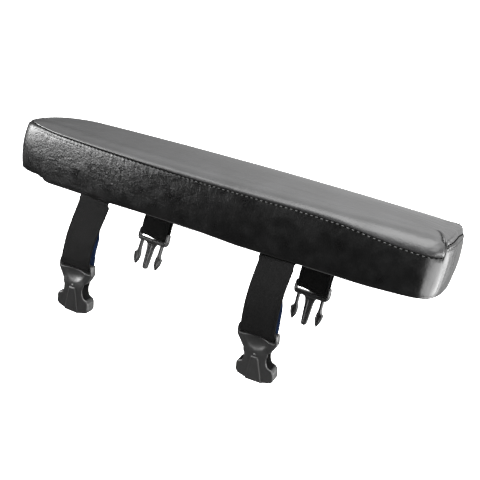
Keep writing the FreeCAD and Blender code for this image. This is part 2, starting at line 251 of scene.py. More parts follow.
def webbing(name, base, tint=(1, 1, 1)):
    """Flat woven tape: u runs along it in millimetres, v across it."""
    m = Nodes(name)
    sep = m.node("ShaderNodeSeparateXYZ")
    m.link(m.coord.outputs["UV"], sep.inputs[0])
    u, v = sep.outputs["X"], sep.outputs["Y"]
    # ribs across the tape, broken by the warp ends into a fine basket pattern
    across = m.math("SINE", m.math("MULTIPLY", v, 2 * math.pi / 1.15))
    shift = m.math("MULTIPLY", m.math("SIGN", across), 0.25)
    along = m.math("SINE", m.math("MULTIPLY", m.math("ADD", u, m.math("MULTIPLY", shift, 1.3)),
                                  2 * math.pi / 1.3))
    height = m.math("ADD", m.math("MULTIPLY", along, 0.5),
                    m.math("MULTIPLY", m.math("ABSOLUTE", across), 0.7))
    fuzz = m.noise(1800, detail=3)
    n = m.bump(height, 0.00016, 0.75)
    n = m.bump(fuzz, 0.00012, 0.5, base=n)
    tone = m.noise(90, detail=4)
    color = m.ramp(tone, [(0.25, grey(base * 0.7, tint)), (0.8, grey(base * 1.35, tint))])
    rough = m.remap(height, 0.78, 0.9, -0.5, 1.2)
    return m.finish(color, rough, n, Specular_IOR_Level=0.11, Sheen_Weight=0.010,
                    Sheen_Roughness=0.5)


def plastic(name, base, rough):
    m = Nodes(name)
    tone = m.noise(140, detail=4)
    color = m.ramp(tone, [(0.3, grey(base * 0.85)), (0.7, grey(base * 1.15))])
    r = m.remap(m.noise(420, detail=5), rough - 0.06, rough + 0.08, 0.3, 0.7)
    n = m.bump(m.noise(1500, detail=4), 0.00005, 0.55)
    return m.finish(color, r, n, Specular_IOR_Level=0.5)


def nonwoven(name, base):
    m = Nodes(name)
    fibres = m.noise(900, m.mapped((1, 2.6, 1)), detail=6, rough=0.7, distortion=1.2)
    dimples = m.voronoi(420, randomness=0.15)
    color = m.ramp(fibres, [(0.3, grey(base * 0.6)), (0.75, grey(base * 1.5))])
    n = m.bump(fibres, 0.00012, 0.6)
    n = m.bump(dimples, 0.0002, 0.5, base=n)
    return m.finish(color, m.remap(fibres, 0.82, 0.96), n, Specular_IOR_Level=0.25)


def thread_mat(name, base):
    m = Nodes(name)
    twist = m.node("ShaderNodeTexWave", wave_type="BANDS", bands_direction="DIAGONAL")
    twist.inputs["Scale"].default_value = 900
    twist.inputs["Distortion"].default_value = 1.0
    m.link(m.coord.outputs["Object"], twist.inputs["Vector"])
    color = m.ramp(twist.outputs["Fac"], [(0.2, grey(base * 0.7)), (0.8, grey(base * 1.3))])
    return m.finish(color, m.remap(twist.outputs["Fac"], 0.72, 0.88),
                    m.bump(twist.outputs["Fac"], 0.0001, 0.7), Specular_IOR_Level=0.06)


def plywood(name):
    m = Nodes(name)
    plies = m.noise(1.0, m.mapped((10, 24, 620)), detail=4)
    grain = m.noise(1.0, m.mapped((18, 420, 300)), detail=6, rough=0.65)
    mixed = m.math("ADD", m.math("MULTIPLY", plies, 0.6), m.math("MULTIPLY", grain, 0.4))
    color = m.ramp(mixed, [(0.3, (0.36, 0.23, 0.12)), (0.7, (0.62, 0.45, 0.27))])
    return m.finish(color, m.remap(grain, 0.6, 0.8), m.bump(grain, 0.0003, 0.5))


def foam(name, a, b):
    m = Nodes(name)
    cells = m.voronoi(900)
    color = m.ramp(cells, [(0.1, a), (0.7, b)])
    return m.finish(color, m.remap(cells, 0.85, 0.98), m.bump(cells, 0.0005, 0.8),
                    Specular_IOR_Level=0.2)


def steel(name):
    m = Nodes(name)
    n = m.noise(700, m.mapped((1, 6, 1)), detail=4)
    color = m.ramp(n, [(0.3, (0.42, 0.42, 0.44)), (0.7, (0.6, 0.6, 0.62))])
    return m.finish(color, m.remap(n, 0.24, 0.4), m.bump(n, 0.00004, 0.5), Metallic=1.0)


# one black leatherette in two copies: the top panel's lighter base colour is painted light from above,
# and the side band's much darker base colour is painted shade on the upright wall
M_TOP_PAINTED_LIT = leatherette("leatherette_top", 0.017, 0.36, 0.16, True)
M_SIDE_PAINTED_SHADE = leatherette("leatherette_side", 0.0018, 0.32, 0.09, False)
M_WEB = webbing("webbing_black", 0.0013)
M_WEB_IN = webbing("webbing_inner", 0.020, (0.3, 0.75, 2.2))
M_BUCKLE = plastic("buckle_black", 0.013, 0.38)
M_CLOTH = nonwoven("underside_cloth", 0.012)
M_THREAD = thread_mat("thread_black", 0.0025)
M_STEEL = steel("staple_steel")

LOOKS = {
    "base_board": plywood("plywood"), "foam_core": foam("foam", (0.5, 0.48, 0.38), (0.72, 0.7, 0.6)),
    "comfort_foam": foam("soft_foam", (0.6, 0.58, 0.5), (0.8, 0.78, 0.7)),
    "hem_staples": M_STEEL, "strap_staples": M_STEEL,
    "cover_top_panel": M_TOP_PAINTED_LIT, "cover_side_band": M_SIDE_PAINTED_SHADE, "seam_thread": M_THREAD,
    "underside_cloth": M_CLOTH,
}
for node_name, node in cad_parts.items():
    mat = LOOKS.get(node_name)
    if mat is None:
        mat = M_WEB if node_name.endswith(("_tab", "_strap")) else M_BUCKLE
    node.data.materials.clear()
    node.data.materials.append(mat)


# ------------------------------------------------------------------ the cover's plan
def half_width(x):
    b = 48 * (1 - 0.28 * (x / HALF) ** 2)
    ul = np.clip((-x - (HALF - 24.9)) / 24.9, 0, 1)
    ur = np.clip((x - (HALF - 22.4)) / 22.4, 0, 1)
    return (b * np.maximum(1 - ul ** 3.2, 0) ** (1 / 2.3)
            * np.maximum(1 - ur ** 4.2, 0) ** (1 / 3.4))


th = np.linspace(-math.pi / 2, math.pi / 2, 8001)
xs = HALF * np.sin(th)
near = np.stack([xs, -half_width(xs)], 1)
far = np.stack([xs[::-1], half_width(xs[::-1])], 1)
loop = np.concatenate([near, far[1:]], 0)
seg = np.linalg.norm(np.diff(loop, axis=0), axis=1)
arc = np.concatenate([[0], np.cumsum(seg)])
LENGTH = arc[-1]


def arc_at(x, side):
    """Arc length where the plan passes x on the near (-1) or far (+1) side."""
    if side < 0:
        return float(np.interp(x, loop[:8001, 0], arc[:8001]))
    return float(LENGTH - np.interp(x, loop[:8001, 0], arc[:8001]))


NOTCH_S = arc_at(159.3, -1)          # where the seam steps up at the right corners
NOTCHES = (NOTCH_S, LENGTH - NOTCH_S)

fine_s = np.linspace(0, LENGTH, 20001)
density = 1.0 + sum(3.5 * np.exp(-((fine_s - a) / 2.6) ** 2) for a in NOTCHES)
cum = np.concatenate([[0], np.cumsum((density[1:] + density[:-1]) / 2)])
cum *= N / cum[-1]
S = np.interp(np.arange(N), cum, fine_s)
PLAN = np.stack([np.interp(S, arc, loop[:, 0]), np.interp(S, arc, loop[:, 1])], 1)
X, Y = PLAN[:, 0], PLAN[:, 1]
FAR = np.where(S > LENGTH / 2, 1.0, -1.0)
S_SYM = np.minimum(S, LENGTH - S)    # the same on both long sides

# the plan's outward normals, evened out a little
t = np.roll(PLAN, -1, 0) - np.roll(PLAN, 1, 0)
PN = np.stack([t[:, 1], -t[:, 0]], 1)
PN /= np.linalg.norm(PN, axis=1, keepdims=True)
for _ in range(6):
    PN = PN + np.roll(PN, 1, 0) + np.roll(PN, -1, 0)
    PN /= np.linalg.norm(PN, axis=1, keepdims=True)


def set_in(plan, inset):
    b = np.abs(plan[:, 1])
    return np.stack([plan[:, 0] * (HALF - inset) / HALF,
                     np.sign(plan[:, 1]) * np.maximum(b - inset * np.tanh(b / 17.0), 0)], 1)


P_IN = set_in(PLAN, SHOULDER)

# the seam's height along the near side, the same on the far side
seam_x = [-162.85, -150, -137, -126, -115.8, -77.5, 4, 73, 98.5, 111, 123, 135, 147, 152.6, 157.2]
seam_z = [40.0, 39.5, 38.4, 37.4, 36.9, 36.2, 35.2, 35.1, 34.0, 32.6, 31.1, 29.8, 29.1, 28.8, 28.9]
seam_sym = [arc_at(x, -1) for x in seam_x] + [NOTCH_S - 0.7, NOTCH_S + 0.7, NOTCH_S + 4,
                                               LENGTH / 2 - 14, LENGTH / 2]
seam_h = list(seam_z) + [29.6, 36.6, 37.5, 38.6, 39.2]
Z_SEAM = np.interp(S_SYM, seam_sym, seam_h)
ker = np.exp(-np.linspace(-2, 2, 9) ** 2)
ker /= ker.sum()
Z_SEAM = np.convolve(np.concatenate([Z_SEAM[-4:], Z_SEAM, Z_SEAM[:4]]), ker, "valid")

# the shoulder, an ellipse, by its length
ang = np.linspace(0, math.pi / 2, 400)
el = np.stack([SHOULDER * (1 - np.cos(ang)), RISE * np.sin(ang)], 1)
el_len = np.concatenate([[0], np.cumsum(np.linalg.norm(np.diff(el, axis=0), axis=1))])
Q_WALL = WALL_TOP - BOTTOM
Q_SHOULDER = Q_WALL + el_len[-1]

z_ang = np.arcsin(np.clip((Z_SEAM - WALL_TOP) / RISE, 0, 1))
Q_SEAM = np.where(Z_SEAM <= WALL_TOP, Z_SEAM - BOTTOM,
                  Q_WALL + np.interp(z_ang, ang, el_len))

# how far the bottom edge strays from a level line: it hangs a little beyond a small
# tuck near the left corners, and waves along the long sides
s_tuck = arc_at(-128.5, -1)
hem_x = [-162.0, -149.3, -139, -134.5, -130.2, -125.9, -121.7, -117.4, -109.3, -97.3, -75, -52,
         -25, -5.5, 7.5, 18.7, 36.7, 60, 80.7, 100, 112.3, 122.1, 131.7, 142.4, 150.4, 154.7, 160]
hem_dz = [0.6, 1.3, 0.7, 0.9, -0.3, -1.9, -2.4, -2.3, -1.95, -1.6, -1.1, -0.2,
          0.6, 0.9, 0.6, 0.2, -0.5, -0.4, -0.3, -0.6, -0.9, -1.0, -0.7, -0.4, 0.0, 0.4, 0.7]
hem_sym = [arc_at(x, -1) for x in hem_x] + [LENGTH / 2 - 8, LENGTH / 2]
TUCK = np.interp(S_SYM, hem_sym, hem_dz + [0.7, 0.7])
TUCK = np.convolve(np.concatenate([TUCK[-4:], TUCK, TUCK[:4]]), ker, "valid")
TUCK = TUCK * np.where(FAR > 0, 0.55, 1.0)
ROUND = 0.9
# the end with the gathered corner leans in towards its foot, the other end swells
LEAN = 0.95 * smoothstep(-8, 14, S_SYM - arc_at(158.0, -1))
SWELL = 1.3 * (1 - smoothstep(6, 40, S_SYM)) + 0.8 * (1 - smoothstep(20, 70, S_SYM))


def surface(q):
    """Points of the cover at heights q (n stations, m rows) up its section."""
    q = np.asarray(q, float)
    a = np.interp(q, Q_WALL + el_len, ang)
    a = np.where(q < Q_WALL, 0.0, a)
    w = 1 - np.cos(a)
    z = np.where(q < Q_WALL, BOTTOM + q, WALL_TOP + RISE * np.sin(a))
    # rounded bottom edge
    low = np.clip((BOTTOM + ROUND - z) / ROUND, 0, 1)
    inset = ROUND * (1 - np.sqrt(np.clip(1 - low ** 2, 0, 1)))
    up = np.clip((z - BOTTOM) / Q_WALL, 0, 1)
    inset = inset + LEAN[:, None] * (1 - smoothstep(0, 0.75, up)) ** 1.3
    belly = (0.95 + SWELL[:, None]) * np.sin(math.pi * up) ** 0.8
    z = z + TUCK[:, None] * (1 - smoothstep(0, 0.5, up))
    xy = (PLAN[:, None, :] * (1 - w[..., None]) + P_IN[:, None, :] * w[..., None]
          + PN[:, None, :] * (belly * (a < 0.6) * (1 - np.clip(a / 0.6, 0, 1))
                              - inset)[..., None])
    return np.concatenate([xy, z[..., None]], 2)


# ------------------------------------------------------------------ grids
ROWS_WALL = 54
tw = np.linspace(0, 1, ROWS_WALL)
tw = tw + 0.10 * np.sin(math.pi * tw) * tw       # a little closer together at the seam
q_low = 0.02
Q_BAND = q_low + (Q_SEAM[:, None] - q_low) * tw[None, :]
T_BAND = np.broadcast_to(tw, Q_BAND.shape)

ROWS_SH, ROWS_CR = 24, 26
ts = np.linspace(0, 1, ROWS_SH) ** 1.15
Q_TOP = Q_SEAM[:, None] + (Q_SHOULDER - Q_SEAM[:, None]) * ts[None, :]
kc = np.linspace(0, 1, ROWS_CR)[1:]


def crown(k):
    """Rings over the crown, from the shoulder (0) to the ridge (1)."""
    xk = P_IN[:, None, 0] * (1 - 0.3 * k)
    yk = P_IN[:, None, 1] * (1 - k)
    # height follows how far in the point is across the pad
    z = WALL_TOP + RISE + CROWN * (1 - (1 - k) ** 2) + 0 * xk
    return np.stack([xk, yk, z], 2)


BAND = surface(Q_BAND)
SHOULDER_ROWS = surface(Q_TOP)
# towards the gathered end the seam runs lower and the panel rolls over all the way from it
roll_b = np.interp(ts, [0, 1], [0, math.pi / 2])[None, :] + 0 * Q_TOP
roll_w = 1 - np.cos(roll_b)
start_ = SHOULDER_ROWS[:, :1, :2]
low_z = Z_SEAM[:, None]
roll_xy = start_ * (1 - roll_w[..., None]) + P_IN[:, None, :] * roll_w[..., None]
roll_z = low_z + (WALL_TOP + RISE - low_z) * np.sin(roll_b)
ROLLED = np.concatenate([roll_xy, roll_z[..., None]], 2)
mix_ = (smoothstep(0.2, 2.6, WALL_TOP - Z_SEAM) * np.where(FAR < 0, 1.0, 0.25))[:, None, None]
SHOULDER_ROWS = SHOULDER_ROWS * (1 - mix_) + ROLLED * mix_
TOP = np.concatenate([SHOULDER_ROWS, crown(kc[None, :])], 1)
T_TOP = np.concatenate([ts * 0.42, 0.42 + 0.58 * kc])


# ------------------------------------------------------------------ cloth simulation
def cloth_swell():
    """The cover as a coarse closed skin, pinned at hem and seam and blown up a little.
    Gives how far each coarse point moved."""
    idx = np.arange(0, N, COARSE)
    m = len(idx)
    band_t = np.linspace(0, 1, 8)
    top_t = np.linspace(0, 1, 12)[1:-1]
    bcols = np.searchsorted(tw, band_t - 1e-9).clip(0, ROWS_WALL - 1)
    tcols = np.searchsorted(T_TOP, top_t - 1e-9).clip(0, len(T_TOP) - 1)
    rim = set_in(PLAN[idx], 20.0)
    hem = np.concatenate([rim, np.full((m, 1), BOTTOM)], 1)[:, None, :]
    pts = np.concatenate([hem, BAND[idx][:, bcols], TOP[idx][:, tcols]], 1)
    rows = pts.shape[1]
    verts = pts.reshape(-1, 3)
    faces = []
    for i in range(m):
        j = (i + 1) % m
        for r in range(rows - 1):
            faces.append((i * rows + r, j * rows + r, j * rows + r + 1, i * rows + r + 1))
    for r, flip in ((0, True), (rows - 1, False)):      # close the underside and the ridge
        for i in range(m // 2):
            a, b = i, i + 1
            c, d = (m - i - 1) % m, (m - i) % m
            quad = [a * rows + r, b * rows + r, c * rows + r, d * rows + r]
            quad = [v for k, v in enumerate(quad) if v not in quad[:k]]
            if len(quad) >= 3:
                faces.append(tuple(reversed(quad)) if flip else tuple(quad))
    start = verts.copy()
    ob = mesh_object("swell", verts, faces)
    pin = ob.vertex_groups.new(name="pin")
    seam_row = len(bcols)
    for r in range(rows):
        ids = [i * rows + r for i in range(m)]
        weight = 1.0 if r <= 1 else (0.9 if r == seam_row else 0.02)
        pin.add(ids, weight, "REPLACE")
    mod = ob.modifiers.new("cloth", "CLOTH")
    st = mod.settings
    st.quality = 6
    st.mass = 0.25
    st.tension_stiffness = 18
    st.compression_stiffness = 12
    st.shear_stiffness = 6
    st.bending_stiffness = 0.6
    st.use_pressure = True
    st.uniform_pressure_force = 4.0
    st.vertex_group_mass = "pin"
    st.pin_stiffness = 1.0
    st.effector_weights.gravity = 0
    mod.collision_settings.use_collision = False
    scene = bpy.context.scene
    mod.point_cache.frame_start = 1
    mod.point_cache.frame_end = 20
    for f in range(1, 21):
        scene.frame_set(f)
    dep = bpy.context.evaluated_depsgraph_get()
    ev = ob.evaluated_get(dep)
    co = np.zeros(len(verts) * 3)
    ev.data.vertices.foreach_get("co", co)
    moved = co.reshape(-1, 3) / MM - start
    data = ob.data
    bpy.data.objects.remove(ob)
    bpy.data.meshes.remove(data)
    scene.frame_set(1)
    moved = moved.reshape(m, rows, 3)
    print("cloth moved mm: max %.2f mean %.2f" % (np.linalg.norm(moved, axis=2).max(),
                                                  np.linalg.norm(moved, axis=2).mean()))
    band_rows = moved[:, 1:1 + len(bcols)]
    top_rows = np.concatenate([moved[:, len(bcols):1 + len(bcols)], moved[:, 1 + len(bcols):],
                               moved[:, -1:]], 1)
    return (tw[bcols], band_rows), (np.concatenate([[0], T_TOP[tcols], [1]]), top_rows)


def upsample(params, coarse, t_fine, cap):
    """Coarse movement spread over the fine grid, and kept under a cap."""
    size = np.linalg.norm(coarse, axis=2, keepdims=True)
    coarse = coarse * (np.tanh(size / cap) * cap / np.maximum(size, 1e-9))
    m = coarse.shape[0]
    u = np.arange(N) / COARSE
    i0 = np.floor(u).astype(int)
    f = u - i0
    cols = np.stack([[np.interp(t_fine, params, coarse[i, :, c]) for c in range(3)]
                     for i in range(m)], 0).transpose(0, 2, 1)

    def at(k):
        return cols[(i0 + k) % m]

    f = f[:, None, None]
    return (at(-1) * (-0.5 * f + f ** 2 - 0.5 * f ** 3) + at(0) * (1 - 2.5 * f ** 2 + 1.5 * f ** 3)
            + at(1) * (0.5 * f + 2 * f ** 2 - 1.5 * f ** 3) + at(2) * (-0.5 * f ** 2 + 0.5 * f ** 3))


(bp, bm), (tp, tm) = cloth_swell()
BAND = BAND + upsample(bp, bm, tw, 1.6)
TOP = TOP + upsample(tp, tm, T_TOP, 1.2) * np.linspace(1, 1, TOP.shape[1])[None, :, None]


# ------------------------------------------------------------------ seam, folds and creases
def seam_distance(q):
    """Distance in the (along, up) plane from each point to the seam line."""
    best = np.full(q.shape, 1e9)
    s0 = S[:, None]
    for k in range(-14, 15):
        ds = (np.roll(S, k) - S + LENGTH / 2) % LENGTH - LENGTH / 2
        dq = np.roll(Q_SEAM, k)[:, None] - q
        best = np.minimum(best, np.hypot(ds[:, None], dq))
    return best


def groove(d, deep=1.35, wide=1.5):
    u = np.clip(1 - d / wide, 0, 1)
    return -deep * (1 - np.sqrt(np.clip(1 - u * u, 0, 1)))


PITCH = 3.3
seam_run = np.concatenate([[0], np.cumsum(np.hypot(np.diff(np.append(S, LENGTH)),
                                                   np.diff(np.append(Q_SEAM, Q_SEAM[0]))))])
SEAM_LEN = seam_run[-1]
phase = seam_run[:-1, None] / (SEAM_LEN / round(SEAM_LEN / PITCH)) * 2 * math.pi

s_ = S[:, None]
x_ = X[:, None]
near_ = 1.0
d_band = seam_distance(Q_BAND)
d_top = seam_distance(np.minimum(Q_TOP, 1e3))
depth = Q_SEAM[:, None] - Q_BAND
h = Q_BAND

left = 1 - smoothstep(-70, 60, x_)
right_end = smoothstep(150, 160, x_)
left_end = 1 - smoothstep(-158, -146, x_)
long_side = smoothstep(-160, -146, x_) * (1 - smoothstep(112, 140, x_))

calm = smoothstep(-157, -132, x_)           # the skin is drawn smooth round the left corner
fan = 0.75 * noise(s_ / 46.0, 0.3, 3) + 0.25 * noise(s_ / 17.0, 2.0, 4)
s_fan = s_ + fan * depth * 0.9 + 0.9 * noise(s_ / 7.0, h / 8.0, 5)
gather = (noise(s_fan / 1.75, depth / 9.0, 6) + 0.6 * noise(s_fan / 1.0, depth / 6.0, 7))
env = np.exp(-(np.maximum(depth, 0) / 10.0) ** 1.6) * (1 - np.exp(-depth / 1.1))
disp = 0.15 * gather * env * (0.15 + 0.85 * long_side) * (0.35 + 0.65 * calm)

# crease network, strongest at the left part of the long sides
cu = (s_ * 0.96 + h * 0.28) + 1.3 * noise(s_ / 4.6, h / 4.0, 8)
cv = (h * 0.96 - s_ * 0.28) + 1.1 * noise(s_ / 5.0, h / 4.4, 9)
net = 1 - np.abs(noise(cu / 3.0, cv / 2.0, 10)) * 3.2
net2 = 1 - np.abs(noise(cu / 1.7, cv / 1.3, 11)) * 3.0
net = np.clip(net, 0, 1) ** 2.4 + 0.95 * np.clip(net2, 0, 1) ** 2.2
patch = 0.6 + 0.8 * noise(s_ / 15.0, h / 8.0, 18)
net_env = (np.exp(-((h - 20.5) / 7.5) ** 2) * left * calm
           * (1 - smoothstep(0, 50, x_)) * np.clip(patch, 0.15, 1.2))
disp -= 0.105 * net * net_env
# long creases that run with the bottom edge
run = 1 - np.abs(noise(s_ / 15.0 + 0.3 * noise(s_ / 9, h / 5, 12), (h + 0.03 * s_) / 2.1, 13)) * 3.0
run_env = np.exp(-((h - 11.5) / 4.0) ** 2) * (1 - smoothstep(-60, 20, x_)) * long_side * calm
disp -= 0.10 * np.clip(run, 0, 1) ** 2.2 * run_env
# slow unevenness of foam under a stretched skin, and soft upright folds at the right end
disp += 0.30 * noise(s_ / 31.0, h / 17.0, 14) * np.sin(math.pi * np.clip(h / Q_SEAM[:, None], 0, 1))
disp += (0.26 * noise(s_ / 5.2, h / 46.0, 15) + 0.10 * noise(s_ / 2.4, h / 30.0, 16)) \
    * (right_end + 0.3 * left_end) * np.sin(math.pi * np.clip(h / Q_SEAM[:, None], 0, 1)) ** 0.6
# puckers at the stitches
fade = 0.35 + 0.65 * smoothstep(-158, -142, x_)
shallow = 0.42 + 0.58 * (1 - smoothstep(-60, 40, x_))
disp += groove(d_band, 0.75, 1.0) * fade * shallow
pucker = 0.5 + 0.5 * np.cos(phase)
disp -= 0.10 * shallow ** 2 * pucker * np.exp(-((d_band - 0.8) / 0.7) ** 2) * (1 - right_end * 0.6) * fade
# second row of stitching under the seam: round the left end, and across the right end
second_l = (1 - smoothstep(-92, -88, x_)) * (0.4 + 0.6 * calm)
second_r = smoothstep(NOTCH_S + 1.2, NOTCH_S + 2.4, np.minimum(s_, LENGTH - s_))
d2l = np.abs(depth - 2.9)
d2r = np.abs(depth - 3.6)
disp -= (0.10 * np.exp(-(d2l / 0.5) ** 2) * (0.5 + 0.5 * pucker)) * second_l
disp -= (0.5 * np.exp(-(d2r / 0.55) ** 2) * (0.6 + 0.4 * pucker)) * second_r
disp += 0.30 * smoothstep(3.4, 2.6, depth) * second_r * smoothstep(0.2, 1.4, depth)
# the cover is drawn in under the overhanging top at the right end
disp -= 0.8 * right_end * np.exp(-(np.maximum(depth, 0) / 2.2) ** 2)
# the tuck at the bottom of the left corners
tuck_s = np.minimum(s_, LENGTH - s_) - s_tuck
disp -= 0.8 * np.exp(-((tuck_s + 0.35 * h) / 1.1) ** 2) * np.exp(-h / 4.0)
# hem line just above the bottom edge
disp -= 0.12 * np.exp(-((h - 1.5) / 0.5) ** 2)

nb = grid_normals(BAND)
if (nb[:, 20, :2] * PN).sum() < 0:
    nb = -nb
BAND = BAND + nb * disp[..., None]

# top panel
xt, yt = TOP[..., 0], TOP[..., 1]
dt = 0.16 * noise(xt / 58.0, yt / 21.0, 20) + 0.05 * noise(xt / 70.0, yt / 3.4, 21) \
    + 0.07 * noise(xt / 24.0, yt / 9.0, 22)
rows_sh = ROWS_SH
fade_t = (0.35 + 0.65 * smoothstep(-158, -142, x_)) * (1 - 0.35 * right_end)
g = groove(d_top, 0.70, 1.0) * fade_t
dt[:, :rows_sh] += g
dt[:, :rows_sh] -= 0.02 * pucker * np.exp(-((d_top - 1.0) / 0.8) ** 2) * fade_t
dt[:, :rows_sh] += 1.3 * right_end * smoothstep(0.4, 3.0, d_top) * (1 - smoothstep(0.5, 1.0, T_TOP[None, :rows_sh] / 0.42))
above = np.maximum(Q_TOP - Q_SEAM[:, None], 0)
dt[:, :rows_sh] += 0.05 * noise(s_ / 1.8, above / 6.0, 23) * np.exp(-(above / 5.0) ** 2) \
    * (1 - smoothstep(100, 150, x_))
# soft pulls that run in from the right corners, and the small pleat above the step
for side in (-1, 1):
    cx, cy = 158.5, side * 27.0
    rx, ry = xt - cx, yt - cy
    rr = np.hypot(rx, ry)
    aa = np.arctan2(ry * side, -rx)
    dt += 0.34 * noise(aa * 3.4, rr / 26.0, 24) * np.exp(-((rr - 7) / 9.0) ** 2)
    # pleat: a short valley running in from the corner with a raised lip beside it
    ux, uy = -0.55, side * -0.83
    along = rx * ux + ry * uy
    across = rx * uy - ry * ux
    dt += (-0.26 * np.exp(-((across) / 0.8) ** 2) + 0.20 * np.exp(-((across - 1.5 * side) / 0.9) ** 2)) \
        * smoothstep(-1, 1.5, along) * (1 - smoothstep(4, 9, along))
nt = grid_normals(TOP)
if nt[:, 30, 2].sum() < 0:
    nt = -nt
nt[:, -1] = (0, 0, 1)
TOP = TOP + nt * dt[..., None]
TOP[:, -1, 1] = 0


def shell(name, grid, skin, mat, normals, tail=None):
    """Closed skin of even thickness on a grid that is closed along its first axis."""
    outer = grid if tail is None else np.concatenate([tail, grid], 1)
    n_, m_ = outer.shape[:2]
    nor = grid_normals(outer)
    if (nor * normals(outer)).sum() < 0:
        nor = -nor
    inner = outer - nor * skin
    verts = np.concatenate([outer.reshape(-1, 3), inner.reshape(-1, 3)])
    i = np.arange(n_)[:, None]
    j = np.arange(m_ - 1)[None, :]
    a = i * m_ + j
    b = ((i + 1) % n_) * m_ + j
    q = np.stack([a, b, b + 1, a + 1], -1).reshape(-1, 4)
    e = n_ * m_
    inner_q = q[:, ::-1] + e
    k = np.arange(n_)
    r0 = np.stack([k * m_, k * m_ + e, ((k + 1) % n_) * m_ + e, ((k + 1) % n_) * m_], -1)
    faces = [q, inner_q, r0]
    last = m_ - 1
    r1 = np.stack([k * m_ + last, ((k + 1) % n_) * m_ + last,
                   ((k + 1) % n_) * m_ + last + e, k * m_ + last + e], -1)
    faces.append(r1)
    return mesh_object(name, verts, np.concatenate(faces))


def outward(g):
    c = np.array([0, 0, 22.0])
    return g - c


# hem turned under the board
hem_in = np.array([20.0, 15.0, 10.0, 6.5, 4.2])
rim0 = BAND[:, 0, :]
hem_rows = []
for inset in hem_in:
    w = (20.0 - inset) / (20.0 - 2.4)
    flat = PLAN * (1 - 20.0 / np.array([HALF, 48.0]))
    xy = flat * (1 - w) + rim0[:, :2] * w
    z = BOTTOM + (rim0[:, 2] - BOTTOM) * w ** 3 + 0.12 * noise(S / 6.0, inset / 4.0, 30)
    hem_rows.append(np.concatenate([xy, z[:, None]], 1))
hem = np.stack(hem_rows, 1)

side_band = shell("cover_side", BAND, 1.0, M_SIDE_PAINTED_SHADE, outward, tail=hem)
side_band.data.materials.append(M_SIDE_PAINTED_SHADE)
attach(side_band, "root")
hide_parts("cover_side_band")

# the top panel closes on its ridge line: pair up the two halves there
n_, m_ = TOP.shape[:2]
top_panel = shell("cover_top", TOP, 1.0, M_TOP_PAINTED_LIT, lambda g: g * 0 + np.array([0, 0, 1.0]))
top_panel.data.materials.append(M_TOP_PAINTED_LIT)
weld = top_panel.modifiers.new("weld", "WELD")
weld.merge_threshold = 0.00002
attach(top_panel, "root")
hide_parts("cover_top_panel")


# the two covers' turned-in edges behind the seam
rim_line = 0.5 * (BAND[:, -1] + TOP[:, 0])
into = np.concatenate([-PN * 0.75, np.full((N, 1), -0.66)], 1)
mid_line = (rim_line + into * 1.0)[::2]
side_v = np.concatenate([PN, np.zeros((N, 1))], 1)[::2]
ang = np.linspace(0, 2 * math.pi, 9)[:-1]
tube = mid_line[:, None, :] + 0.85 * (np.cos(ang)[None, :, None] * side_v[:, None, :]
                                      + np.sin(ang)[None, :, None] * np.array([0, 0, 1.0]))
tn = len(tube)
ti, tj = np.arange(tn)[:, None], np.arange(8)[None, :]
tq = np.stack([ti * 8 + tj, ((ti + 1) % tn) * 8 + tj, ((ti + 1) % tn) * 8 + (tj + 1) % 8,
               ti * 8 + (tj + 1) % 8], -1).reshape(-1, 4)
allowance = mesh_object("seam_allowance", tube.reshape(-1, 3), tq)
allowance.data.materials.append(M_SIDE_PAINTED_SHADE)
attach(allowance, "root")


# the soft foam under the panel takes the panel's shape
nf = grid_normals(TOP)
if nf[:, 30, 2].sum() < 0:
    nf = -nf
zone = smoothstep(128, 146, TOP[..., 0])[..., None]
inward = np.array([126.0, 0.0, 0.0]) - TOP * (1, 1, 0)
inward /= np.maximum(np.linalg.norm(inward, axis=2, keepdims=True), 1e-6)
foam_top = TOP - nf * 1.16 * (1 - zone) + (inward * 2.0 - (0, 0, 2.0)) * zone
foam_top[:, -1] = TOP[:, -1] - (0, 0, 1.16)
foam_edge = set_in(PLAN, 1.35)
foam_low = np.stack([np.concatenate([foam_edge * (1 - k), np.full((N, 1), 28.15)], 1)
                     for k in (0.0,)], 1)
foam_in = np.stack([np.stack([foam_edge[:, 0] * (1 - 0.3 * k), foam_edge[:, 1] * (1 - k),
                              np.full(N, 28.15)], 1) for k in (1.0, 0.66, 0.33)], 1)
foam_grid = np.concatenate([foam_in, foam_low, foam_top], 1)
fn_, fm_ = foam_grid.shape[:2]
fi = np.arange(fn_)[:, None]
fj = np.arange(fm_ - 1)[None, :]
fq = np.stack([fi * fm_ + fj, ((fi + 1) % fn_) * fm_ + fj, ((fi + 1) % fn_) * fm_ + fj + 1,
               fi * fm_ + fj + 1], -1).reshape(-1, 4)
soft = mesh_object("soft_foam", foam_grid.reshape(-1, 3), fq)
soft.data.materials.append(LOOKS["comfort_foam"])
weld = soft.modifiers.new("weld", "WELD")
weld.merge_threshold = 0.00002
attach(soft, "root")
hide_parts("comfort_foam")


# ------------------------------------------------------------------ stitches
def capsule(p, d, up, length, radius):
    """One stitch: a small rounded bar arched a little over the leather."""
    d = d / np.linalg.norm(d)
    b = np.cross(d, up)
    b /= np.linalg.norm(b)
    up = np.cross(b, d)
    verts, faces = [], []
    rings, sides = 7, 6
    for r in range(rings):
        u = r / (rings - 1) * 2 - 1
        rad = radius * math.sqrt(max(1 - abs(u) ** 4, 0.02))
        c = p + d * u * length / 2 + up * (0.16 * (1 - u * u) - 0.10 * abs(u) ** 3)
        for k in range(sides):
            a = 2 * math.pi * k / sides
            verts.append(c + b * rad * math.cos(a) + up * rad * math.sin(a))
    for r in range(rings - 1):
        for k in range(sides):
            a, c2 = r * sides + k, r * sides + (k + 1) % sides
            faces.append((a, c2, c2 + sides, a + sides))
    faces.append(tuple(range(sides - 1, -1, -1)))
    faces.append(tuple(range((rings - 1) * sides, rings * sides)))
    return verts, faces


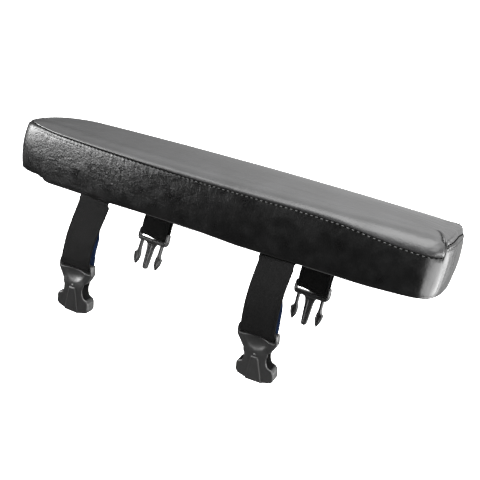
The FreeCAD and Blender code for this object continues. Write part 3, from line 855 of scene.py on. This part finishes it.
def stitch_row(points, ups, pitch, length, radius, closed=True, lift=0.12):
    seg_ = np.linalg.norm(np.diff(points, axis=0), axis=1)
    run_ = np.concatenate([[0], np.cumsum(seg_)])
    count = max(int(round(run_[-1] / pitch)), 1)
    verts, faces = [], []
    for k in range(count):
        u = (k + 0.5) * run_[-1] / count
        p = np.array([np.interp(u, run_, points[:, c]) for c in range(3)])
        a = np.array([np.interp(u - 0.8, run_, points[:, c]) for c in range(3)])
        b = np.array([np.interp(u + 0.8, run_, points[:, c]) for c in range(3)])
        up = np.array([np.interp(u, run_, ups[:, c]) for c in range(3)])
        up /= np.linalg.norm(up)
        tilt = np.cross(up, b - a)
        tilt /= max(np.linalg.norm(tilt), 1e-9)
        v, f = capsule(p + up * lift, (b - a) / np.linalg.norm(b - a) + 0.10 * tilt, up,
                       length, radius)
        off = len(verts)
        verts += v
        faces += [tuple(i + off for i in face) for face in f]
    return verts, faces


nb2 = grid_normals(BAND)
if (nb2[:, 20, :2] * PN).sum() < 0:
    nb2 = -nb2
row = -2
pts = BAND[:, row]
ups = nb2[:, -8]
pts = np.concatenate([pts, pts[:1]])
ups = np.concatenate([ups, ups[:1]])
tv, tf = stitch_row(pts, ups, PITCH, 2.1, 0.34, lift=0.10)


def second_row(lo, hi, below):
    """Points on the band a fixed distance under the seam, between two stations."""
    ids = [k % N for k in range(lo, hi)]
    p, u = [], []
    for k in ids:
        col = int(np.argmin(np.abs((Q_SEAM[k] - Q_BAND[k]) - below)))
        p.append(BAND[k, col])
        u.append(nb2[k, col])
    return np.array(p), np.array(u)


lo = int(np.searchsorted(S, arc_at(-90, 1)))
hi = N + int(np.searchsorted(S, arc_at(-90, -1)))
p2, u2 = second_row(lo, hi, 2.9)
v2, f2 = stitch_row(p2, u2, PITCH, 1.7, 0.20, lift=0.02)
lo = int(np.searchsorted(S, NOTCH_S + 2.5))
hi = int(np.searchsorted(S, LENGTH - NOTCH_S - 2.5))
p3, u3 = second_row(lo, hi, 3.6)
v3, f3 = stitch_row(p3, u3, PITCH, 2.0, 0.22, lift=0.02)
allv, allf = list(tv), list(tf)
for v, f in ((v2, f2), (v3, f3)):
    off = len(allv)
    allv += v
    allf += [tuple(i + off for i in face) for face in f]
stitches = mesh_object("stitching", allv, allf)
stitches.data.materials.append(M_THREAD)
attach(stitches, "root")
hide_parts("seam_thread")


# ------------------------------------------------------------------ underside cloth
def underside():
    n2, rows = 360, 26
    step = N // n2
    plan = PLAN[::step]
    edge = set_in(plan, 7.0)
    k = np.linspace(0, 1, rows)
    verts = []
    for kk in k:
        xk = edge[:, 0] * (1 - 0.72 * kk)
        yk = edge[:, 1] * (1 - kk)
        lift = 2.15 * np.exp(-(kk / 0.035) ** 1.5) if kk < 0.3 else 0.0
        sag = 0.10 * noise(xk / 16.0, yk / 16.0, 40) + 0.05 * noise(xk / 5.0, yk / 5.0, 41)
        z = 0.16 + lift + sag * (kk > 0.02)
        verts.append(np.stack([xk, yk, z], 1))
    g = np.stack(verts, 1)
    return g


cloth_grid = underside()
cn = grid_normals(cloth_grid)
if cn[:, 12, 2].sum() > 0:
    cn = -cn
underside_cloth = shell("underside_sheet", cloth_grid, 0.3, M_CLOTH,
                        lambda g: g * 0 + np.array([0, 0, -1.0]))
underside_cloth.data.materials.append(M_CLOTH)
weld = underside_cloth.modifiers.new("weld", "WELD")
weld.merge_threshold = 0.00002
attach(underside_cloth, "root")
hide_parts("underside_cloth")


# ------------------------------------------------------------------ straps
def curve_points(points, steps=6):
    p = [points[0]] + list(points) + [points[-1]]
    out = []
    for i in range(1, len(p) - 2):
        for k in range(steps):
            u = k / steps
            q = []
            for c in (0, 1):
                a, b, d, e = p[i - 1][c], p[i][c], p[i + 1][c], p[i + 2][c]
                q.append(0.5 * (2 * b + (d - a) * u + (2 * a - 5 * b + 4 * d - e) * u * u
                                + (3 * b - a - 3 * d + e) * u ** 3))
            out.append(tuple(q))
    out.append(tuple(points[-1]))
    return out


def resample(path, step):
    p = np.array(path, float)
    seg_ = np.linalg.norm(np.diff(p, axis=0), axis=1)
    keep = np.concatenate([[True], seg_ > 1e-6])
    p = p[keep]
    run_ = np.concatenate([[0], np.cumsum(np.linalg.norm(np.diff(p, axis=0), axis=1))])
    n2 = max(int(round(run_[-1] / step)), 2)
    u = np.linspace(0, run_[-1], n2 + 1)
    return np.stack([np.interp(u, run_, p[:, 0]), np.interp(u, run_, p[:, 1])], 1), u


WEB_W, WEB_T = 24.5, 1.3
FOLD_Y, FOLD_Z = 44.6, 0.6
STRAPS = {
    "front_left": (-76.2, 52.4, -44.9, 8.0, 0.14, -1),
    "front_right": (65.2, 47.6, -46.0, 14.0, 0.14, -1),
    "rear_left": (-75.6, 44.8, -36.9, 12.0, 0.55, 1),
    "rear_right": (66.0, 45.0, -36.2, 4.0, 0.55, 1),
}
BULGE = {"front_left": 0.6, "front_right": 3.2, "rear_left": 0.0, "rear_right": 0.0}
ROLL = {"front_left": 0.0, "front_right": -3.0, "rear_left": 1.0, "rear_right": 0.5}
SHEAR = {"front_left": 1.3, "front_right": 0.6, "rear_left": 0.6, "rear_right": 0.4}
TURN = {"front_left": -0.10, "front_right": 0.03, "rear_left": 0.0, "rear_right": 0.0}


def strap_path(out, down, tilt, bow, bulge=0.0):
    """Side view of the webbing, out from the pad being negative."""
    t_ = math.radians(tilt)
    r = 2.1 + WEB_T / 2
    by, bz = -out, down
    up = (-math.sin(t_), math.cos(t_))
    side = (math.cos(t_), math.sin(t_))

    def near_bar(across, along):
        return (by + side[0] * across + up[0] * along, bz + side[1] * across + up[1] * along)

    fy, fz = -FOLD_Y, FOLD_Z
    meet = near_bar(-r, 5.0)
    drop = fz - meet[1]
    lean = meet[0] - fy
    tab = [(-11.6, 1.85), (-25.0, 1.85), (-36.5, 1.85), (-41.6, 1.78), (-43.8, 1.35)]
    front = [(fy - 0.05, fz - 0.3),
             (fy + lean * (0.10 + bow) - 0.55 * bulge, fz - 0.20 * drop),
             (fy + lean * (0.36 + 1.2 * bow) - 1.0 * bulge, fz - 0.42 * drop),
             (fy + lean * (0.72 + bow) - 0.75 * bulge, fz - 0.70 * drop),
             meet, near_bar(-r, 1.2)]
    wrap = [near_bar(r * math.cos(math.pi + k / 10 * math.pi), r * math.sin(math.pi + k / 10 * math.pi))
            for k in range(0, 11)]
    line = curve_points(front, 4)
    web = WEB_T
    sew = [(line[k][0] + web * 1.02, line[k][1] - 0.3) for k in (8, 5)]
    b1, b2 = near_bar(r + 0.7, 6.0), near_bar(r + 1.0, 12.0)
    mid = (0.5 * (b2[0] + sew[0][0]) + 0.9, 0.5 * (b2[1] + sew[0][1]))
    back = [near_bar(r, 1.2), b1, b2, mid, sew[0], sew[1]]
    pts_ = tab + front + wrap + back
    return curve_points(pts_, 5), len(tab), sew


def strap(name):
    xm, out, down, tilt, bow, sgn = STRAPS[name]
    path, _, sew = strap_path(out, down, tilt, bow, BULGE[name])
    p, run_ = resample(path, 0.8)
    tng = np.gradient(p, axis=0)
    tng /= np.linalg.norm(tng, axis=1, keepdims=True)
    nor = np.stack([-tng[:, 1], tng[:, 0]], 1)       # left of travel
    rows = len(p)
    # cross-section: flat woven face, a faint line inside each edge, rounded selvedges
    half = WEB_W / 2
    prof = [(-half + 0.05, 0.0), (-half + 0.25, 0.42), (-half + 0.8, 0.62), (-half + 1.6, 0.65),
            (-half + 2.0, 0.52), (-half + 2.4, 0.64)]
    mid_ = [(x, 0.65) for x in np.linspace(-half + 3.4, half - 3.4, 13)]
    upper = prof + mid_ + [(-x, y) for x, y in reversed(prof)]
    ring = upper + [(x, -y) for x, y in reversed(upper[1:-1])]
    ring = np.array(ring)
    m2 = len(ring)
    depth_z = np.clip((-p[:, 1]) / 45.0, 0, 1)
    verts = np.zeros((rows, m2, 3))
    uv = np.zeros((rows, m2, 2))
    wav = 0.25 * noise(run_ / 17.0, xm, 50) + 0.08 * noise(run_ / 5.0, xm, 51)
    clear = smoothstep(down + 3.0, down + 11.0, p[:, 1])      # the loop is drawn tight on the bar
    for k in range(m2):
        x, y = ring[k]
        twist = 0.030 * x * np.sin(math.pi * depth_z) * (1 if sgn < 0 else 0.6)
        twist = twist + TURN[name] * x * smoothstep(-0.01, 0.05, depth_z) \
            * (1 - smoothstep(0.2, 0.85, depth_z))
        ripple = 0.10 * noise(run_ / 6.0, np.full(rows, x / 9.0), 52)
        off = y + (ripple + wav) * smoothstep(0.05, 0.3, depth_z) * clear
        yy = p[:, 0] + nor[:, 0] * off - twist
        zz = p[:, 1] + nor[:, 1] * off
        # the loop sits lower on the bar at one side of the plug halves
        if sgn > 0:
            zz = zz - 1.45 * smoothstep(-8, 3, x) * (1 - smoothstep(down - 1.0, down + 5.0, p[:, 1]))
        tuck_in = 1 - 0.075 * smoothstep(run_[-1] - 22, run_[-1] - 8, run_)
        verts[:, k, 0] = xm + x * tuck_in + SHEAR[name] * (1 - depth_z) * smoothstep(0, 0.05, depth_z)
        verts[:, k, 1] = yy * -sgn
        verts[:, k, 2] = zz
        uv[:, k, 0] = run_
        uv[:, k, 1] = x
    v = verts.reshape(-1, 3)
    i = np.arange(rows - 1)[:, None]
    j = np.arange(m2)[None, :]
    q = np.stack([i * m2 + j, i * m2 + (j + 1) % m2, (i + 1) * m2 + (j + 1) % m2,
                  (i + 1) * m2 + j], -1).reshape(-1, 4)
    inner = (ring[:, 1] + np.roll(ring[:, 1], -1)) / 2
    # travel goes down the front: the left of travel is the inner face on one side only
    mats = np.broadcast_to((inner > 0.3)[None, :], (rows - 1, m2)).reshape(-1).astype(int)
    mats = mats * np.repeat((run_[:-1] > 70), m2)
    faces = [tuple(f) for f in q] + [tuple(range(m2)), tuple(reversed(range((rows - 1) * m2, rows * m2)))]
    mats = list(mats) + [0, 0]
    ob = mesh_object(name + "_web", v, faces, uv=uv.reshape(-1, 2), mats=mats)
    ob.data.materials.append(M_WEB)
    ob.data.materials.append(M_WEB_IN)
    bpy.context.view_layer.update()
    me = ob.data
    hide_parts(name + "_strap", name + "_tab")
    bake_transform(ob)
    # box of stitching that closes the loop
    z1, z0 = sew[1][1] - 1.2, sew[0][1] + 1.0
    line_y = lambda z: float(np.interp(z, [sew[0][1], sew[1][1]], [sew[0][0], sew[1][0]]))
    corners = [(-8.5, z1), (8.5, z1), (8.5, z0), (-8.5, z0)]
    sv, sf = [], []
    for a, b in ((0, 1), (1, 2), (2, 3), (3, 0), (0, 2), (1, 3)):
        (xa, za), (xb, zb) = corners[a], corners[b]
        for face, dy in (("in", 0.72),) if sgn < 0 else (("in", 0.72), ("out", -WEB_T * 1.02 - 0.70)):
            pa = np.array([xm + xa, -sgn * (line_y(za) + dy), za])
            pb = np.array([xm + xb, -sgn * (line_y(zb) + dy), zb])
            pts_ = np.stack([pa + (pb - pa) * u for u in np.linspace(0, 1, 12)])
            up_ = np.array([0, -sgn * (1.0 if face == "in" else -1.0), 0.0])
            v_, f_ = stitch_row(pts_, np.broadcast_to(up_, pts_.shape), 2.4, 1.7, 0.2, lift=0.02)
            off = len(sv)
            sv += v_
            sf += [tuple(i2 + off for i2 in f2_) for f2_ in f_]
    st_ = mesh_object(name + "_box_stitch", sv, sf)
    st_.data.materials.append(M_THREAD)
    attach(st_, name + "_strap")
    return ob


for strap_name in STRAPS:
    strap(strap_name)


# ------------------------------------------------------------------ moulded buckles
def poly_sdf(px, pz, pts_):
    """Signed distance to a closed polygon, negative inside."""
    d = np.full(px.shape, 1e9)
    inside = np.zeros(px.shape, bool)
    n2 = len(pts_)
    for i in range(n2):
        ax, az = pts_[i]
        bx, bz = pts_[(i + 1) % n2]
        ex, ez = bx - ax, bz - az
        wx, wz = px - ax, pz - az
        u = np.clip((wx * ex + wz * ez) / (ex * ex + ez * ez), 0, 1)
        d = np.minimum(d, (wx - ex * u) ** 2 + (wz - ez * u) ** 2)
        cond = ((az > pz) != (bz > pz))
        cross = (bx - ax) * (pz - az) / ((bz - az) if bz != az else 1e-9) + ax
        inside ^= cond & (px < cross)
    d = np.sqrt(d)
    return np.where(inside, -d, d)


def both(points):
    return points + [(-x, z) for x, z in reversed(points)]


def smax(a, b, k):
    h_ = np.clip(0.5 - 0.5 * (b - a) / k, 0, 1)
    return b * (1 - h_) + a * h_ + k * h_ * (1 - h_)


def smin(a, b, k):
    return -smax(-a, -b, k)


def surface_nets(f, lo, step):
    nx, ny, nz = f.shape
    s = f < 0
    c = np.zeros((nx - 1, ny - 1, nz - 1), int)
    corners = [(i, j, k) for i in (0, 1) for j in (0, 1) for k in (0, 1)]
    for i, j, k in corners:
        c += s[i:nx - 1 + i, j:ny - 1 + j, k:nz - 1 + k]
    act = (c > 0) & (c < 8)
    idx = np.argwhere(act)
    acc = np.zeros((len(idx), 3))
    cnt = np.zeros(len(idx))
    for a in corners:
        for ax in range(3):
            if a[ax] == 1:
                continue
            b = list(a)
            b[ax] = 1
            fa = f[idx[:, 0] + a[0], idx[:, 1] + a[1], idx[:, 2] + a[2]]
            fb = f[idx[:, 0] + b[0], idx[:, 1] + b[1], idx[:, 2] + b[2]]
            hit = (fa < 0) != (fb < 0)
            t_ = np.where(hit, fa / np.where(hit, fa - fb, 1), 0)
            p = np.array(a, float)[None, :].repeat(len(idx), 0)
            p[:, ax] += t_
            acc[hit] += p[hit]
            cnt += hit
    pos = idx + acc / cnt[:, None]
    ids = np.full(act.shape, -1)
    ids[act] = np.arange(len(idx))
    quads = []
    for ax in range(3):
        o1, o2 = [(1, 2), (2, 0), (0, 1)][ax]
        lo_sl = [slice(1, None)] * 3
        lo_sl[ax] = slice(0, f.shape[ax] - 1)
        fa = s[tuple(lo_sl)]
        hi_sl = list(lo_sl)
        hi_sl[ax] = slice(1, f.shape[ax])
        fb = s[tuple(hi_sl)]
        e = np.argwhere(fa != fb)
        base = e.copy()
        for k in range(3):
            if k != ax:
                base[:, k] += 1
        sign = fa[e[:, 0], e[:, 1], e[:, 2]]
        ok = (base[:, o1] < f.shape[o1] - 1) & (base[:, o2] < f.shape[o2] - 1)
        base, sign = base[ok], sign[ok]

        def cell(d1, d2):
            q_ = base.copy()
            q_[:, o1] -= d1
            q_[:, o2] -= d2
            return ids[q_[:, 0], q_[:, 1], q_[:, 2]]

        quad = np.stack([cell(1, 1), cell(0, 1), cell(0, 0), cell(1, 0)], 1)
        quad[~sign] = quad[~sign][:, ::-1]
        quads.append(quad)
    return pos * step + np.array(lo), np.concatenate(quads)


def moulded(name, sdf, lo, hi, step, where, body, nodes, passes=2):
    """Mesh of a signed distance function in the buckle's own frame, placed on its bar."""
    ax = [np.arange(l, h_ + step, step) for l, h_ in zip(lo, hi)]
    gx, gy, gz = np.meshgrid(*ax, indexing="ij")
    f = sdf(gx, gy, gz)
    pos, quads = surface_nets(f, lo, step)
    # a light even-out that keeps the shape
    for _ in range(passes):
        acc = np.zeros_like(pos)
        cnt = np.zeros(len(pos))
        for k in range(4):
            a, b = quads[:, k], quads[:, (k + 1) % 4]
            np.add.at(acc, a, pos[b])
            np.add.at(cnt, a, 1)
        pos = 0.5 * pos + 0.5 * acc / np.maximum(cnt, 1)[:, None]
    xm, out, down, tilt, bow, sgn = STRAPS[where]
    # the body hangs slightly askew on its bar; the bar itself stays true to its axis
    ra = math.radians(ROLL[where]) * smoothstep(-3.2, -9.0, pos[:, 2])
    pos = np.stack([pos[:, 0] * np.cos(ra) + pos[:, 2] * np.sin(ra), pos[:, 1],
                    -pos[:, 0] * np.sin(ra) + pos[:, 2] * np.cos(ra)], 1)
    th_ = math.radians(tilt) * (1 if sgn < 0 else -1)
    y = pos[:, 1] * math.cos(th_) - pos[:, 2] * math.sin(th_)
    z = pos[:, 1] * math.sin(th_) + pos[:, 2] * math.cos(th_)
    world = np.stack([pos[:, 0] + xm, y + sgn * out, z + down], 1)
    ob = mesh_object(name, world, quads)
    ob.data.materials.append(M_BUCKLE)
    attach(ob, body)
    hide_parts(*nodes)
    return ob


EARS_S = both([(12.6, 2.6), (13.7, 1.6), (14.3, -1.5), (14.3, -5.4), (12.4, -9.0),
               (9.4, -13.0), (8.6, -16.0)])
HOUSE = both([(11.6, -4.9), (12.4, -7.0), (11.0, -10.4), (8.9, -13.4), (8.3, -17.0),
              (8.4, -20.5), (9.4, -23.0), (12.3, -24.4), (13.6, -26.4), (13.8, -32.2),
              (12.3, -34.6), (6.5, -36.4)])
KEY = both([(2.3, -17.0), (2.9, -18.6), (6.0, -36.2)])


def ellipsoid(x, y, z, c, r):
    q = np.sqrt(((x - c[0]) / r[0]) ** 2 + ((y - c[1]) / r[1]) ** 2 + ((z - c[2]) / r[2]) ** 2)
    return (q - 1) * min(r)


def socket_sdf(x, y, z):
    flat = smin(poly_sdf(x[:, 0, :], z[:, 0, :], EARS_S), poly_sdf(x[:, 0, :], z[:, 0, :], HOUSE), 1.2)
    flat = flat[:, None, :]
    # the housing swells from the ears to its full depth, and is a little crowned across
    full = smoothstep(-9.0, -16.0, z)
    half = 3.2 + 1.4 * full
    d = smax(flat + 0.0, np.abs(y) - half, 1.9)
    # raised, widening key panel on both faces
    key = smax(poly_sdf(x[:, 0, :], z[:, 0, :], KEY)[:, None, :], np.abs(y) - 5.5, 1.3)
    d = smin(d, smax(key, -(np.abs(y) - 3.4), 0.3), 0.5)
    # room for the webbing, and the bar it turns on
    slot_ = np.maximum(np.maximum(np.abs(x) - 12.75, z - 9), -(z + 4.1))
    d = smax(d, -slot_, 0.6)
    # dished thumb scoop under the webbing, on both faces
    for s_ in (-1, 1):
        d = smax(d, -ellipsoid(x, y, z, (0, s_ * 7.4, -5.0), (11.6, 6.6, 8.8)), 0.45)
    # hollow that takes the prongs, open at the mouth and through the waist's sides
    hollow = np.maximum(np.maximum(np.abs(x) - 11.2, np.abs(y) - 3.2), z + 13.0)
    d = smax(d, -hollow, 0.7)
    # small ejector pip
    pip = np.sqrt(x ** 2 + (np.abs(y) - 4.6) ** 2 + (z + 15.6) ** 2) - 0.8
    d = smin(d, pip, 0.3)
    bar_ = np.maximum(np.sqrt(y ** 2 + z ** 2) - 2.0, np.abs(x) - 13.2)
    return smin(d, bar_, 0.5)


EARS_P = both([(12.8, 2.8), (13.9, 1.6), (14.3, -4.0), (13.7, -6.6), (12.2, -8.3)])
GUIDE = both([(5.4, -7.7), (3.9, -10.0), (3.2, -13.0), (2.3, -28.6), (1.7, -30.1), (0.8, -30.6)])


def plug_sdf(x, y, z):
    flat = poly_sdf(x[:, 0, :], z[:, 0, :], EARS_P)[:, None, :]
    d = smax(flat, np.abs(y) - 3.2, 1.7)
    slot_ = np.maximum(np.maximum(np.abs(x) - 12.5, z - 9), -(z + 4.9))
    d = smax(d, -slot_, 0.9)
    guide = smax(poly_sdf(x[:, 0, :], z[:, 0, :], GUIDE)[:, None, :], np.abs(y) - 1.8, 0.7)
    # long groove down both faces of the guide
    g_ = np.maximum(np.maximum(np.abs(x) - 0.75, -(np.abs(y) - 1.05)), np.maximum(z + 10.5, -(z + 28.6)))
    guide = smax(guide, -g_, 0.4)
    d = smin(d, guide, 1.0)
    bar_ = np.maximum(np.sqrt(y ** 2 + z ** 2) - 2.0, np.abs(x) - 13.2)
    return smin(d, bar_, 0.5)


def prong_sdf(hand):
    c, r, z0 = 9.7, 1.1, -9.6
    pts_ = [(c - r, z0 + 2.4), (c - r, -15.2), (8.3, -17.0), (7.8, -18.9), (7.5, -22.1), (8.1, -25.4),
            (9.5, -28.6), (9.9, -28.9), (10.4, -28.4), (11.3, -26.7), (12.4, -23.5), (13.0, -20.0),
            (12.9, -18.8), (11.4, -17.9), (c + r, -16.1), (c + r, z0 + 2.4)]
    pts_ = [(hand * x, z) for x, z in pts_]

    def sdf(x, y, z):
        d2 = poly_sdf(x[:, 0, :], z[:, 0, :], pts_)[:, None, :]
        half = 2.2 - 0.5 * smoothstep(-24, -29.0, z)
        d = smax(d2, np.abs(y) - half, 0.8)
        # thinned pocket in the face of the arrow head
        pk = np.maximum(poly_sdf(x[:, 0, :], z[:, 0, :],
                                 [(hand * a, b) for a, b in ((9.0, -19.1), (8.7, -22.1), (9.8, -26.3),
                                                             (11.4, -22.9), (11.8, -19.8))])[:, None, :],
                        -(np.abs(y) - 1.5))
        return smax(d, -pk, 0.4)

    return sdf


STEP = 0.32
for where in ("front_left", "front_right"):
    moulded(where + "_socket_shell", socket_sdf, (-15.2, -7.0, -38.0), (15.2, 7.0, 4.8), STEP,
            where, where + "_socket", [where + "_socket"])
for where in ("rear_left", "rear_right"):
    moulded(where + "_plug_frame", plug_sdf, (-15.2, -4.2, -34.2), (15.2, 4.2, 4.4), STEP,
            where, where + "_plug", [where + "_plug"])
    for hand, tag in ((-1, "a"), (1, "b")):
        lo_ = (6.6 if hand > 0 else -13.8, -3.0, -32.4)
        hi_ = (13.8 if hand > 0 else -6.6, 3.0, -7.4)
        moulded(where + "_prong_" + tag + "_arm", prong_sdf(hand), lo_, hi_, 0.25, where,
                where + "_prong_" + tag, [where + "_prong_" + tag], passes=1)


# ------------------------------------------------------------------ stage, light, camera
floor_z = -0.42
fm = Nodes("pale_floor")
fc = fm.ramp(fm.noise(3, detail=2), [(0.3, (0.93, 0.93, 0.93)), (0.7, (0.95, 0.95, 0.95))])
fm.finish(fc, None, None, Roughness=0.9, Specular_IOR_Level=0.1)
fm.bsdf.inputs["Emission Color"].default_value = (1, 1, 1, 1)
fm.bsdf.inputs["Emission Strength"].default_value = 1.2
fv = [(-12000, -12000, floor_z * 1000), (12000, -12000, floor_z * 1000),
      (12000, 12000, floor_z * 1000), (-12000, 12000, floor_z * 1000)]
floor = mesh_object("floor", fv, [(0, 1, 2, 3)], smooth=False)
floor.data.materials.append(fm.mat)
floor.visible_glossy = False
floor.visible_diffuse = False

world = bpy.data.worlds.new("studio")
bpy.context.scene.world = world
world.use_nodes = True
wt = world.node_tree
wt.nodes.clear()
w_out = wt.nodes.new("ShaderNodeOutputWorld")
w_bg = wt.nodes.new("ShaderNodeBackground")
w_cam = wt.nodes.new("ShaderNodeBackground")
w_mix = wt.nodes.new("ShaderNodeMixShader")
w_path = wt.nodes.new("ShaderNodeLightPath")
w_co = wt.nodes.new("ShaderNodeTexCoord")
w_sep = wt.nodes.new("ShaderNodeSeparateXYZ")


def w_range(source, a0, a1, b0, b1):
    n_r = wt.nodes.new("ShaderNodeMapRange")
    n_r.interpolation_type = "SMOOTHSTEP"
    for key_, val in (("From Min", a0), ("From Max", a1), ("To Min", b0), ("To Max", b1)):
        n_r.inputs[key_].default_value = val
    wt.links.new(source, n_r.inputs["Value"])
    return n_r.outputs[0]


def w_math(op, a0, b0):
    n_m = wt.nodes.new("ShaderNodeMath")
    n_m.operation = op
    wt.links.new(a0, n_m.inputs[0])
    wt.links.new(b0, n_m.inputs[1])
    return n_m.outputs[0]


wt.links.new(w_co.outputs["Generated"], w_sep.inputs[0])
high = w_math("MULTIPLY", w_range(w_sep.outputs["Z"], 0.30, 0.92, 0.0, 3.2),
              w_range(w_sep.outputs["X"], -0.9, 0.9, 0.5, 1.3))
back = w_math("MULTIPLY", w_math("MULTIPLY", w_range(w_sep.outputs["Y"], -0.1, 0.95, 0.0, 0.78),
                                 w_range(w_sep.outputs["Z"], -0.55, 0.05, 0.3, 1.0)),
              w_range(w_sep.outputs["X"], -0.74, -0.14, 0.08, 1.14))
low = w_range(w_sep.outputs["Z"], -0.45, -0.95, 0.0, 0.5)
base_ = w_range(w_sep.outputs["Z"], -0.3, 0.4, 0.015, 0.05)
wt.links.new(w_math("ADD", w_math("ADD", w_math("ADD", high, back), low), base_),
             w_bg.inputs["Strength"])
w_bg.inputs["Color"].default_value = (1, 1, 1, 1)
w_cam.inputs["Color"].default_value = (1, 1, 1, 1)
w_cam.inputs["Strength"].default_value = 1.2
wt.links.new(w_path.outputs["Is Camera Ray"], w_mix.inputs["Fac"])
wt.links.new(w_bg.outputs[0], w_mix.inputs[1])
wt.links.new(w_cam.outputs[0], w_mix.inputs[2])
wt.links.new(w_mix.outputs[0], w_out.inputs["Surface"])


def softbox(name, where, target, size, power):
    data = bpy.data.lights.new(name, "AREA")
    data.shape = "RECTANGLE"
    data.size, data.size_y = size
    data.energy = power
    ob = bpy.data.objects.new(name, data)
    bpy.context.scene.collection.objects.link(ob)
    ob.location = where
    ob.rotation_euler = (Vector(target) - Vector(where)).to_track_quat("-Z", "Y").to_euler()
    ob.visible_camera = False
    return ob


softbox("right", (1.08, 0.05, -0.16), (0.14, 0, 0), (2.05, 0.75), 40.0)
softbox("left_front", (-0.95, -0.42, 0.21), (-0.1, 0, 0), (0.80, 0.42), 19.0)
softbox("over_right", (0.34, -0.66, 1.02), (0.12, 0, 0), (1.15, 1.25), 30.0)
softbox("front_high", (-0.46, -0.74, 0.70), (0, 0, -0.05), (0.80, 0.32), 5.5)

view_ = bpy.context.scene.view_settings
view_.view_transform = "Standard"
view_.look = "None"

cam = bpy.data.cameras.new("camera")
cam.lens = 52.898
cam.sensor_width = 36
cam.clip_end = 100
camera = bpy.data.objects.new("camera", cam)
bpy.context.scene.collection.objects.link(camera)
rx = Vector((0.87835522, 0.43435475, 0.19956967))
uy = Vector((-0.28761507, 0.14676641, 0.94643394))
vz = Vector((0.38179795, -0.88870443, 0.25384002))
m4 = Matrix.Identity(4)
for c, vec in enumerate((rx, uy, vz)):
    for r in range(3):
        m4[r][c] = vec[r]
m4.translation = Vector((0.20857, -0.44114, 0.11917))
camera.matrix_world = m4
bpy.context.scene.camera = camera
